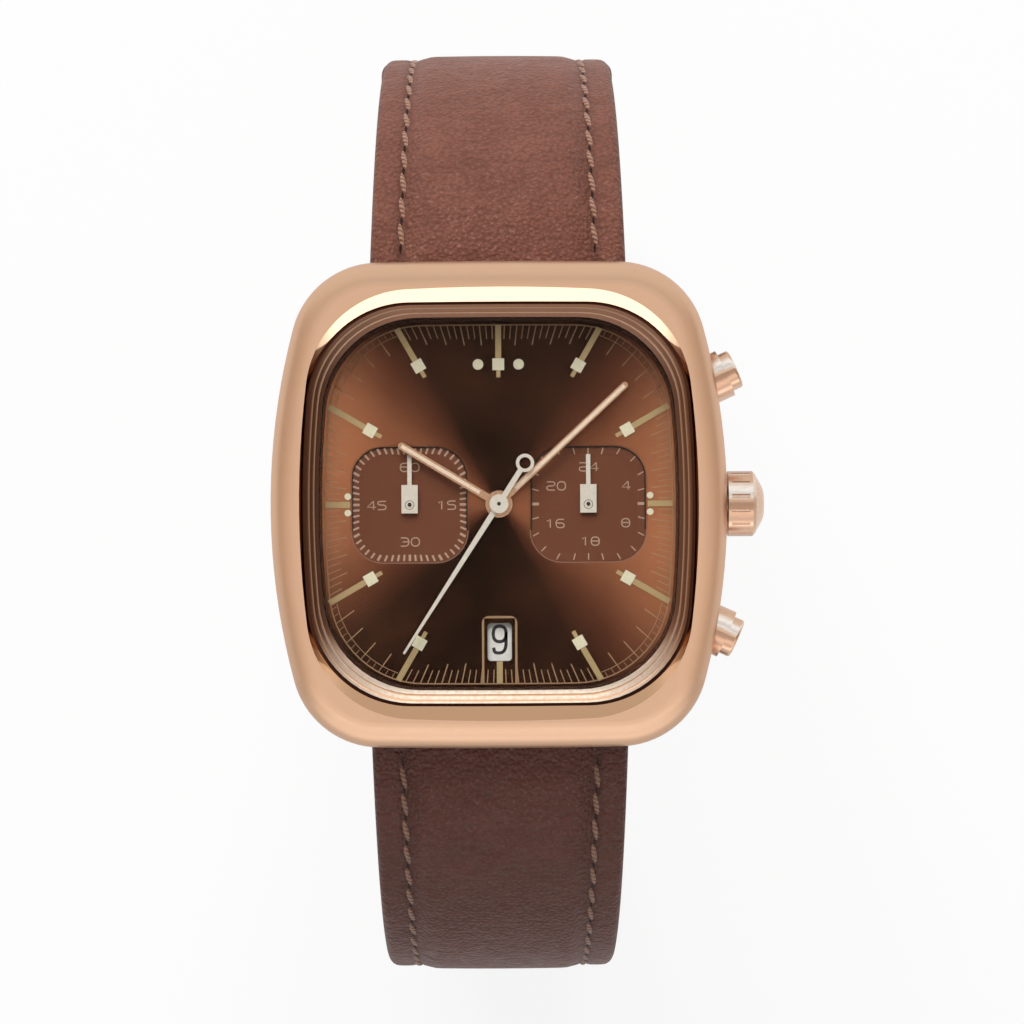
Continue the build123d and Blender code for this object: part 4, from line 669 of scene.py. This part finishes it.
def sub_outline(grow, corner):
    """Outline of a sub-dial round its own middle, grown on every side."""
    return rounded_box(SUB_HALF + grow, SUB_HALF + grow, corner)


BAND, BAND_RISE = 0.78, 0.04
sub_edge = sub_outline(0, SUB_CORNER)
sub_inner = sub_outline(-BAND, SUB_CORNER - 0.6 * BAND)


def band_height(place):
    """Height of the sloping band round a sub-dial."""
    def height(x, y):
        way = math.degrees(math.atan2(x - place, y))
        inner = ray(sub_inner, way)
        share = (math.hypot(x - place, y) - inner) / (ray(sub_edge, way) - inner)
        return FLOOR + BAND_RISE * min(max(share, 0), 1) + INK
    return height


BAND_RINGS = ((sub_outline(0.1, 2.78), DIAL + 0.012), (sub_edge, DIAL - 0.03),
              (sub_edge, FLOOR + BAND_RISE), (sub_inner, FLOOR + 0.006))
SHADOW_LINE_END, SHADOW_LINE_WIDTH, SHADOW_LINE_RISE = -2.5, 0.16, 0.006
LIP_END, LIP_WIDTH = -2.1, 0.07
for place, name in ((-SUB_X, "minute_subdial"), (SUB_X, "day_subdial")):
    points = [(place + x, y, z) for ring, z in BAND_RINGS for x, y in ring]
    faces = ring_faces(len(BAND_RINGS), len(sub_edge))
    piece(name + "_band", "case", points, faces, [subdial_lacquer], smooth=False)
    # Painted shadow: a dark line inside the top and sides of the sub-dial's edge
    groove = [(place + x, y) for x, y in sub_outline(-0.08, 2.63) if y > SHADOW_LINE_END]
    mark = Print()
    mark.line(groove[-1:] + groove[:-1], SHADOW_LINE_WIDTH, FLOOR + BAND_RISE + SHADOW_LINE_RISE)
    mark.make(name + "_groove", "case", painted_recess_shadow)
    # Painted highlight: a pale line along the lower edge of the sub-dial
    lip = [(place + x, y) for x, y in sub_outline(0.05, 2.73) if y < LIP_END]
    mark = Print()
    mark.line(lip, LIP_WIDTH, DIAL + INK)
    mark.make(name + "_lip", "case", painted_rim_highlight)


def sub_print(name, place, ticks, start, stop, tick_width, texts):
    """Ticks and numbers of one sub-dial; tick_width gives a tick's width from its number."""
    mark = Print()
    for step in range(ticks):
        radial(mark, sub_edge, 360 // ticks * step, start, stop, tick_width(step), band_height(place),
               (place, 0))
    for text, x, y in texts:
        mark.digits(text, place + x, y, NUMBER_CELL, NUMBER_GAP, NUMBER_STROKE, FLOOR + INK, SQUARE, 2)
    mark.make(name, "case", pale_ink)


NUMBER_CELL, NUMBER_GAP, NUMBER_STROKE = (0.68, 0.7), 0.22, 0.1
sub_print("minute_subdial_print", -SUB_X, 60, 0.12, 0.66, lambda step: 0.17 if step % 5 else 0.21,
          (("60", 0.02, 3.16), ("15", 3.1, -0.06), ("30", 0.02, -3.16), ("45", -2.8, -0.06)))
sub_print("day_subdial_print", SUB_X, 24, 0.16, 0.72, lambda step: 0.24 if step % 12 == 6 else 0.1,
          (("24", 0.05, 3.13), ("4", 3.2, 1.54), ("8", 3.16, -1.62), ("18", 0.12, -3.17),
           ("16", -2.85, -1.66), ("20", -2.72, 1.53)))

# Date numbers, with the 9 in the window
DATE_DISC, DATE_INK, DATE_RADIUS = 6.02, 0.008, 11.42
DATE_HEIGHT, DATE_STROKE, SHOWN_DAY = 2.2, 0.28, 9
numbers = Print()
for day in range(1, 32):
    width = 1.08 if day < 10 else 0.66
    numbers.digits(str(day), 0, -DATE_RADIUS, (width, DATE_HEIGHT), DATE_STROKE, DATE_STROKE,
                   DATE_DISC + DATE_INK, ROUND, 3, math.radians((day - SHOWN_DAY) * 360 / 31))
numbers.make("date_numbers", "date", black_ink)


# Pins at the middle of the hands: radius of each ring and its height over the hand
PIN_TOP, PIN_RINGS = 0.02, ((0.1, 0.018), (0.17, 0.004))
MARK_RADIUS, MARK_SHIFT, MARK_WIDTH, MARK_HEIGHT = 0.37, -0.04, 0.06, 6.684
for name, body, x, z in (("chrono_pin", "chrono", 0, 7.95), ("counter_pin", "counter", -SUB_X, 6.74),
                         ("day_pin", "day", SUB_X, 6.74)):
    points = [(x, 0, z + PIN_TOP)]
    points += [(x + u, v, z + height) for radius, height in PIN_RINGS for u, v in circle(radius, 12)]
    faces = [(0, 1 + i, 1 + (i + 1) % 12) for i in range(12)]
    faces += [(1 + i, 13 + i, 13 + (i + 1) % 12, 1 + (i + 1) % 12) for i in range(12)]
    piece(name, body, points, faces, [black_ink])
    if x:
        mark = Print()
        mark.line([(x + u, v + MARK_SHIFT) for u, v in circle(MARK_RADIUS, 24)], MARK_WIDTH, MARK_HEIGHT,
                  closed=True)
        mark.make(name + "_ring", body, pin_grey)


# Metallised edge of the crystal, with two fine beads: how far each ring lies outside the dial opening, its
# height (none on the slope), and its rise over that
SLOPE_MARGIN, SLOPE_FOOT, SLOPE_RUN, SLOPE_RISE = 1.6, 8.85, 1.1, 0.85
EDGE = ((1.62, 8.46, 0), (1.62, 8.85, 0.02), (1.46, None, 0.03), (1.36, None, 0.08), (1.26, None, 0.03),
        (1.02, None, 0.025), (0.93, None, 0.08), (0.84, None, 0.025), (0.56, None, 0.02),
        (0.5, None, 0.008))
BEADS = (2, 3, 5, 6)
points = []
for margin, z, lift in EDGE:
    height = z if z is not None else SLOPE_FOOT + (SLOPE_MARGIN - margin) / SLOPE_RUN * SLOPE_RISE
    points += [(x, y, height + lift) for x, y in window(margin)]
n = len(border)
coats = [int(r not in BEADS) for r in range(len(EDGE) - 1) for _ in range(n)]
crystal_edge = piece("crystal_edge", "case", points, ring_faces(len(EDGE), n), [bead_coat, band_coat], coats)
crystal_edge.data.set_sharp_from_angle(angle=math.radians(14))


# Strap: the same route as the CAD halves, with a padded, stitched and softly rounded skin whose leather has
# painted shade and glints

BAR = (18.4, 2.9)
BEND_R, FOOT_R = 27.0, 20.0
FIRST, LAST = math.radians(12), math.radians(105)
BEND = BEND_R * (LAST - FIRST)
BUCKLE_LENGTH, TAIL_LENGTH = 68.0, 104.0
BUCKLE_REACH, BUCKLE_HALF, TAIL_RISE = 9.6, 1.0, 1.26
TO_END = 999
drop = BEND_R * (math.cos(FIRST) - math.cos(LAST))
foot = drop + (BUCKLE_LENGTH - BEND + BUCKLE_REACH) * math.sin(LAST) - BUCKLE_HALF * math.cos(LAST)
straight = (foot - drop - FOOT_R * (1 + math.cos(LAST)) - TAIL_RISE) / math.sin(LAST)
BUCKLE_ROUTE = ((BEND, BEND_R), (TO_END, None))
TAIL_ROUTE = ((BEND, BEND_R), (straight, None), (FOOT_R * (math.pi - LAST), FOOT_R), (TO_END, None))


def route_point(side, route, place):
    """Y, Z and slope of the middle line at a place along a strap half, which is on side 1 or -1."""
    y, z, slope, rest = BAR[0], BAR[1], FIRST, place
    for length, radius in route:
        step = min(rest, length)
        if radius is None or step < 0:
            y += step * math.cos(slope)
            z -= step * math.sin(slope)
        else:
            after = slope + step / radius
            y += radius * (math.sin(after) - math.sin(slope))
            z += radius * (math.cos(after) - math.cos(slope))
            slope = after
        rest -= step
        if rest <= 0:
            break
    return side * y, z, slope


def strap_to_world(side, route, place, across, out):
    """The point beside and above the middle line at a place along the strap."""
    y, z, slope = route_point(side, route, place)
    return (-side * across, y + side * math.sin(slope) * out, z + math.cos(slope) * out)


STRAP_WIDTH, WIDTH_LOSS = 22.0, 4.0
STRAP_THICKNESS, THICKNESS_LOSS = 3.2, 0.8
PAD_RAMP, PAD_FIRST, PAD_GAIN, PAD_LOSS = 7, 0.25, 0.5, 0.69
PAD_MOST = PAD_FIRST + PAD_GAIN
TIP_LENGTH, TIP_WIDTH = 9.0, 5.0


def width_at(place):
    return STRAP_WIDTH - WIDTH_LOSS * min(max(place, 0) / BUCKLE_LENGTH, 1)


def thickness_at(place):
    return STRAP_THICKNESS - THICKNESS_LOSS * min(max(place, 0) / BEND, 1)


def pad_at(place):
    """Height of the padding, which is highest a little way from the case."""
    if place < PAD_RAMP:
        return PAD_FIRST + PAD_GAIN * max(place, 0) / PAD_RAMP
    return PAD_MOST - PAD_LOSS * min((place - PAD_RAMP) / (BEND - PAD_RAMP), 1)


def half_width(place):
    return width_at(place) / 2


def tip_half(place):
    """Half the width of the tail half, which narrows at its tip."""
    share = (place - (TAIL_LENGTH - TIP_LENGTH)) / TIP_LENGTH
    if share <= 0:
        return half_width(place)
    return (TIP_WIDTH + (width_at(place) - TIP_WIDTH) * math.sqrt(max(0, 1 - share * share))) / 2


def smooth(t):
    t = min(max(t, 0), 1)
    return t * t * (3 - 2 * t)


# Distances in from the strap's edge at which a ring of the skin has points, above and below
EDGE_STEPS = (0, 0.04, 0.14, 0.3, 0.55, 0.9, 1.4, 1.9, 2.2, 2.4, 2.6, 2.8, 3.05, 3.35, 3.7, 4.1, 4.6,
              5.4, 6.6, 8.2)
LINING_STEPS = (0, 0.1, 0.35, 2.0, 6.0)
STITCH_LINE = 2.6
RIM_FALL, LINING_FALL = 0.75, 0.35
RIM_SWELL, RIM_SWELL_RUN = 0.07, 1.2
# Depth and half width of the stitch groove, and half width of the painted shade beside it
GROOVE_DEPTH, GROOVE_HALF, GROOVE_SHADE = 0.2, 0.36, 0.42
PAD_START, PAD_RUN, PAD_LEAST, CROWN, CROWN_START = 2.9, 1.5, 0.1, 0.22, 3


def rounding(radius, inside):
    """How far a rounded edge lies below its face, at a distance in from the edge."""
    return radius - math.sqrt(max(0, radius * radius - max(0, radius - inside) ** 2))


def skin_height(half, place, inside):
    """Height of the outer skin above the middle line, at a distance in from the edge."""
    top = thickness_at(place) / 2 - rounding(RIM_FALL, inside)
    top += RIM_SWELL * smooth(inside / RIM_SWELL_RUN)
    top -= GROOVE_DEPTH * math.exp(-((inside - STITCH_LINE) / GROOVE_HALF) ** 2)
    pad = max(pad_at(place), PAD_LEAST)
    crown = 0
    if inside > CROWN_START:
        crown = max(CROWN * (1 - ((half - inside) / max(half - CROWN_START, 1)) ** 2), 0)
    return top + (pad + crown * pad / PAD_MOST) * smooth((inside - PAD_START) / PAD_RUN)


CASE_CAP, BAR_CAP, RING_PITCH = 1.62, 1.32, 0.7


def strap_half(name, side, route, length, cap, halves, skin):
    """Skin of one strap half as rings along its route; the faces inside get the lining."""
    places = [(-CASE_CAP * math.cos(math.radians(a)), math.sin(math.radians(a))) for a in (12, 30, 50, 70)]
    count = round(length / RING_PITCH)
    places += [(length * i / count, 1.0) for i in range(count + 1)]
    if cap:
        places += [(length + cap * math.sin(math.radians(a)), math.cos(math.radians(a)))
                   for a in (20, 40, 60, 78)]
    points = []
    for place, flat in places:
        clipped = min(max(place, 0), length)
        half, full = halves(min(place, length)), half_width(clipped)
        scale = half / full
        ring = [(inside * scale - half, skin_height(full, clipped, inside) * flat) for inside in EDGE_STEPS]
        ring.append((0, skin_height(full, clipped, full) * flat))
        ring += [(-u, v) for u, v in reversed(ring[:-1])]
        base = -thickness_at(clipped) / 2 * flat
        ring += [(half - inside * scale, base + rounding(LINING_FALL, inside) * flat)
                 for inside in LINING_STEPS]
        ring += [(-u, v) for u, v in reversed(ring[-len(LINING_STEPS):])]
        points += [strap_to_world(side, route, place, u, v) for u, v in ring]
    n = len(ring)
    top = 2 * len(EDGE_STEPS)
    faces = ring_faces(len(places), n)
    faces += [tuple(reversed(range(n))), tuple(range(len(points) - n, len(points)))]
    parts = [1 if i in (0, top - 1, top, n - 1) else 0 if i < top else 2 for i in range(n)]
    indices = parts * (len(places) - 1) + [1, 1]
    if side > 0:
        faces = [tuple(reversed(f)) for f in faces]
    obj = piece(name, None, points, faces, [skin, edge_paint, lining_suede], indices)
    groove_marks(obj, len(places), n)
    return obj


def strap_cutter(side, route, place, shape):
    """Points and faces of a cutter straight through the strap, with that outline."""
    slope = route_point(side, route, place)[2]
    along = Vector((0, side * math.cos(slope), -math.sin(slope)))
    points = [tuple(Vector(strap_to_world(side, route, place, u, out)) + along * s)
              for out in (-CUT_REACH, CUT_REACH) for u, s in shape]
    n = len(shape)
    return points, ring_faces(2, n) + [tuple(reversed(range(n))), tuple(range(n, 2 * n))]


def groove_marks(obj, rings, ring_size):
    """Marks the points beside the stitch line, where the leather gets painted shade."""
    marks = [math.exp(-((inside - STITCH_LINE) / GROOVE_SHADE) ** 2) for inside in EDGE_STEPS]
    ring = marks + [0] + marks[::-1] + [0] * (ring_size - 2 * len(marks) - 1)
    layer = obj.data.attributes.new("groove", "FLOAT", "POINT")
    layer.data.foreach_set("value", ring * rings)


def face_outward(obj):
    """Turns every face of a closed piece outwards."""
    work = bmesh.new()
    work.from_mesh(obj.data)
    bmesh.ops.recalc_face_normals(work, faces=work.faces)
    work.to_mesh(obj.data)
    work.free()


def cut(obj, shapes):
    """Cuts closed shapes out of a piece."""
    points, faces = [], []
    for shape_points, shape_faces in shapes:
        first = len(points)
        points += shape_points
        faces += [tuple(first + i for i in f) for f in shape_faces]
    tool = piece("strap_cutter", None, points, faces, [edge_paint])
    for m in obj.data.materials[1:]:
        tool.data.materials.append(m)
    face_outward(obj)
    face_outward(tool)
    mod = obj.modifiers.new("cut", "BOOLEAN")
    mod.object = tool
    mod.operation = "DIFFERENCE"
    mod.solver = "EXACT"
    bpy.context.view_layer.update()
    done = bpy.data.meshes.new_from_object(obj.evaluated_get(bpy.context.evaluated_depsgraph_get()))
    obj.modifiers.clear()
    obj.data = done
    bpy.data.objects.remove(tool)
    done.set_sharp_from_angle(angle=math.radians(50))


# Stitches: pitch along the strap, and half sizes of the thread and of the dark disc at each end of a stitch,
# painted shade of its hole
STITCH_START, STITCH_PITCH, STITCH_FILL, STITCH_SLANT = 3.2, 2.5, 0.98, 0.45
THREAD_WIDTH, THREAD_HEIGHT, THREAD_SINK, THREAD_LIFT = 0.25, 0.17, 0.2, 0.26
PRICK_LENGTH, PRICK_WIDTH, PRICK_RISE, PRICK_CROWN = 0.42, 0.25, 0.03, 0.02


def stitch_spot(place, line, halves):
    """Place across the strap and height of the stitch groove, on the side that line gives."""
    half, full = halves(place), half_width(place)
    return line * (half - STITCH_LINE * half / full), skin_height(full, place, STITCH_LINE)


def stitches(name, side, route, stop, body, halves):
    """Slanted twisted thread in the groove on both sides, with a dark disc at each end that paints the shade
    of a stitch hole.
    """
    points, faces, uvs, hole_shade_points, hole_shade_faces = [], [], [], [], []
    count = int((stop - STITCH_START) / STITCH_PITCH)
    rows, around = 9, 8
    for line in (1, -1):
        for k in range(count):
            middle = STITCH_START + (k + 0.5) * STITCH_PITCH
            first = len(points)
            for r in range(rows):
                t = r / (rows - 1)
                place = middle + (t - 0.5) * STITCH_PITCH * STITCH_FILL
                across, top = stitch_spot(place, line, halves)
                swell = math.sin(math.pi * (0.06 + 0.88 * t)) ** 0.6
                across += STITCH_SLANT * (t - 0.5)
                top += THREAD_LIFT * swell - THREAD_SINK
                points += [strap_to_world(side, route, place, across + THREAD_WIDTH * swell * u,
                                          top + THREAD_HEIGHT * swell * v) for u, v in circle(1, around)]
            faces += [tuple(first + i for i in f) for f in ring_faces(rows, around)]
            uvs += [[(a * 0.5, b / around) for a, b in ((r, i), (r, i + 1), (r + 1, i + 1), (r + 1, i))]
                    for r in range(rows - 1) for i in range(around)]
        for k in range(count + 1):
            place = STITCH_START + k * STITCH_PITCH
            middle, top = stitch_spot(place, line, halves)
            first = len(hole_shade_points)
            hole_shade_points.append(strap_to_world(side, route, place, middle, top + PRICK_RISE + PRICK_CROWN))
            hole_shade_points += [strap_to_world(side, route, place + PRICK_LENGTH * s, middle + PRICK_WIDTH * u,
                                     top + PRICK_RISE - PRICK_CROWN) for u, s in circle(1, 12)]
            hole_shade_faces += [(first, first + 1 + i, first + 1 + (i + 1) % 12) for i in range(12)]
    if side > 0:
        faces = [tuple(reversed(f)) for f in faces]
        uvs = [list(reversed(u)) for u in uvs]
        hole_shade_faces = [tuple(reversed(f)) for f in hole_shade_faces]
    obj = piece(name, body, points, faces, [stitch_thread])
    layer = obj.data.uv_layers.new(name="thread")
    layer.data.foreach_set("uv", [c for face in uvs for corner in face for c in corner])
    piece(name + "_holes", body, hole_shade_points, hole_shade_faces, [painted_hole_shade])


CUT_REACH = 4
SLOT_PLACE, SLOT_HALF_WIDTH, SLOT_HALF_LENGTH, SLOT_CORNER_SHARE = 66.35, 1.15, 4.35, 0.95
HOLE_COUNT, HOLE_FIRST, HOLE_PITCH, HOLE_RADIUS = 7, 22.0, 6.5, 1.05
body = "buckle_strap"
buckle_half = strap_half("buckle_half_skin", 1, BUCKLE_ROUTE, BUCKLE_LENGTH, BAR_CAP, half_width,
                         strap_leather)
slot_shape = rounded_box(SLOT_HALF_WIDTH, SLOT_HALF_LENGTH, SLOT_HALF_WIDTH * SLOT_CORNER_SHARE, 6)
cut(buckle_half, [strap_cutter(1, BUCKLE_ROUTE, SLOT_PLACE, slot_shape)])
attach(buckle_half, body)
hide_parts("strap_buckle_half")
body = "tail_strap"
tail_half = strap_half("tail_half_skin", -1, TAIL_ROUTE, TAIL_LENGTH, 0, tip_half, tail_leather_painted_shade)
cut(tail_half, [strap_cutter(-1, TAIL_ROUTE, TAIL_LENGTH - HOLE_FIRST - HOLE_PITCH * i,
                             circle(HOLE_RADIUS, 24)) for i in range(HOLE_COUNT)])
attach(tail_half, body)
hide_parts("strap_tail_half")
stitches("buckle_half_stitches", 1, BUCKLE_ROUTE, 60.5, "buckle_strap", half_width)
stitches("tail_half_stitches", -1, TAIL_ROUTE, 96.5, "tail_strap", tip_half)


KEEPER_HALF, KEEPER_WALL, KEEPER_CORNER = 2.5, 0.45, 0.9
KEEPER_GAP_BELOW, KEEPER_GAP_ABOVE, KEEPER_ROOM = 0.15, 0.06, 2.6
# Section of the loop's wall, outwards and along the strap, and the faces of it that are cut edge or inside
KEEPER_SECTION = ((-0.4, -2.15), (-0.44, -2.4), (-0.2, -2.5), (0.2, -2.5), (0.4, -2.38), (0.43, -2.0),
                  (0.36, -1.9), (0.43, -1.78), (0.45, 0), (0.43, 1.78), (0.36, 1.9), (0.43, 2.0),
                  (0.4, 2.38), (0.2, 2.5), (-0.2, 2.5), (-0.44, 2.4), (-0.4, 2.15))
KEEPER_EDGES, KEEPER_INSIDE = (1, 2, 3, 13, 14), len(KEEPER_SECTION) - 1


def keeper(name, node, body, place, side_gap):
    """Leather loop with rounded edges and a line pressed in along each edge."""
    half_u = half_width(place - KEEPER_HALF) + side_gap + KEEPER_WALL
    low = -thickness_at(place) / 2 - KEEPER_GAP_BELOW - KEEPER_WALL
    high = thickness_at(place) / 2 + KEEPER_GAP_ABOVE + KEEPER_ROOM + KEEPER_WALL
    path = rounded_box(half_u, (high - low) / 2, KEEPER_CORNER, 7)
    middle = (high + low) / 2
    slope = route_point(1, BUCKLE_ROUTE, place)[2]
    along = (0, math.cos(slope), -math.sin(slope))
    points, faces, indices = [], [], []
    n, m = len(path), len(KEEPER_SECTION)
    for i, (u, v) in enumerate(path):
        a, b = path[i - 1], path[(i + 1) % n]
        dx, dy = b[0] - a[0], b[1] - a[1]
        size = math.hypot(dx, dy) or 1
        nx, ny = dy / size, -dx / size
        for out, s in KEEPER_SECTION:
            base = strap_to_world(1, BUCKLE_ROUTE, place, u + nx * out, middle + v + ny * out)
            points.append(tuple(b + s * a for b, a in zip(base, along)))
    for i in range(n):
        j = (i + 1) % n
        for k in range(m):
            after = (k + 1) % m
            faces.append((i * m + k, j * m + k, j * m + after, i * m + after))
            indices.append(2 if k == KEEPER_INSIDE else 1 if k in KEEPER_EDGES else 0)
    obj = piece(name, body, points, faces, [strap_leather, edge_paint, lining_suede], indices)
    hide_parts(node)


keeper("fixed_keeper_loop", "fixed_keeper", "buckle_strap", 58.5, 0.15)
keeper("sliding_keeper_loop", "sliding_keeper", "keeper", 49.5, 0.3)


# Floor, light and camera

GROUND_GAP, GROUND_REACH, GROUND_GLOW = 0.03, 4000, 0.87
floor_z = cad_box[0][2] / MM - GROUND_GAP
floor_look = Shader("floor_white", (0.9, 0.9, 0.9), 0.9)
path = floor_look.node("LightPath")
seen = floor_look.math("MAXIMUM", path.outputs["Is Camera Ray"], path.outputs["Is Glossy Ray"])
seen = floor_look.math("MAXIMUM", seen, path.outputs["Is Transmission Ray"])
glow = floor_look.node("Emission", Color=(1, 1, 1, 1), Strength=1.0)
blend = floor_look.node("MixShader", Fac=floor_look.math("MULTIPLY", seen, GROUND_GLOW))
floor_look.link(floor_look.bsdf.outputs[0], blend.inputs[1])
floor_look.link(glow.outputs[0], blend.inputs[2])
floor_look.link(blend.outputs[0], floor_look.out.inputs["Surface"])
corners = [(x * GROUND_REACH, y * GROUND_REACH, floor_z) for x, y in ((-1, -1), (1, -1), (1, 1), (-1, 1))]
floor = piece("studio_floor", None, corners, [(0, 1, 2, 3)], [floor_look.mat])


class Sky(Shader):
    """The studio round the watch: soft grey overhead, bright strips in front, warm cards beside it."""

    def __init__(self):
        world = bpy.data.worlds.new("studio")
        scene.world = world
        world.use_nodes = True
        self.tree = world.node_tree
        self.coord = self.node("TexCoord").outputs["Generated"]


sky = Sky()
way = sky.node("SeparateXYZ", Vector=sky.coord)
lean = sky.math("ARCTAN2", sky.math("MULTIPLY", way.outputs[1], -1.0), sky.math("ABSOLUTE", way.outputs[2]))
# Brightness in front by angle above the level, and colours at the sides by height
STRIP = 2.5
FRONT = ((-90, 0.85), (-76, 0.95), (-62, 0.9), (-46, 1.0), (-40, 0.64), (-26, 0.64), (-19, 1.05), (-8, 1.1),
         (0, 0.88), (12, 0.95), (22, 1.1), (27, 2.25), (47, 2.25), (54, 1.3), (64, 1.3), (71, 2.4), (84, 2.4),
         (90, 1.2))
SIDES = ((0.0, (0.42, 0.32, 0.25)), (0.3, (0.55, 0.45, 0.37)), (0.6, (0.70, 0.60, 0.53)),
         (1.0, (0.70, 0.60, 0.53)))
front = sky.ramp(sky.span(lean, math.radians(-90), math.radians(90)),
                 *((a / 180 + 0.5, (v / STRIP,) * 3) for a, v in FRONT))
across = sky.math("DIVIDE", sky.math("ABSOLUTE", way.outputs[0]),
                  sky.math("SQRT", sky.math("ADD", sky.math("POWER", way.outputs[0], 2),
                                            sky.math("POWER", way.outputs[1], 2))))
side = sky.ramp(way.outputs[2], *((z, tuple(c / STRIP for c in tone)) for z, tone in SIDES))
seen_color = sky.mix(sky.span(across, 0.72, 0.98), front, side)
path = sky.node("LightPath")
direct = sky.math("MAXIMUM", path.outputs["Is Camera Ray"], path.outputs["Is Transmission Ray"])
plain_color = sky.mix(path.outputs["Is Diffuse Ray"], (1 / STRIP,) * 3, (0.34 / STRIP,) * 3)
glossy = sky.math("SUBTRACT", path.outputs["Is Glossy Ray"], direct)
background = sky.tree.nodes["Background"]
sky.link(sky.mix(glossy, plain_color, seen_color), background.inputs["Color"])
background.inputs["Strength"].default_value = STRIP


# Key light aimed at the watch, hidden from reflections
KEY_PLACE, KEY_SIZE, KEY_RADIANCE = (-0.15, 1.0, 0.8), 0.9, 7.4
light = bpy.data.lights.new("key_top", "AREA")
light.shape = "RECTANGLE"
light.size, light.size_y = KEY_SIZE, KEY_SIZE
light.energy = KEY_RADIANCE * math.pi * KEY_SIZE * KEY_SIZE
key = bpy.data.objects.new("key_top", light)
key.location = KEY_PLACE
key.rotation_euler = Vector(KEY_PLACE).to_track_quat("Z", "Y").to_euler()
key.visible_glossy = False
scene.collection.objects.link(key)

# Camera found from the photograph: focal length and picture width in pixels, and turns in degrees
TARGET, DISTANCE = Vector((1.10, -0.66, 6.5)) * MM, 0.3977
FOCAL, PICTURE, SENSOR = 4691, 1024, 36.0
lens = bpy.data.cameras.new("camera")
lens.sensor_fit = "HORIZONTAL"
lens.sensor_width = SENSOR
lens.lens = FOCAL / PICTURE * SENSOR
lens.clip_start = 0.01
turn = Matrix()
for angle, axis in ((1.28, "X"), (-0.17, "Y"), (-0.29, "Z")):
    turn = turn @ Matrix.Rotation(math.radians(angle), 4, axis)
camera = bpy.data.objects.new("camera", lens)
camera.matrix_world = Matrix.Translation(TARGET) @ turn @ Matrix.Translation((0, 0, DISTANCE))
scene.collection.objects.link(camera)
scene.camera = camera
scene.view_settings.view_transform = "Standard"
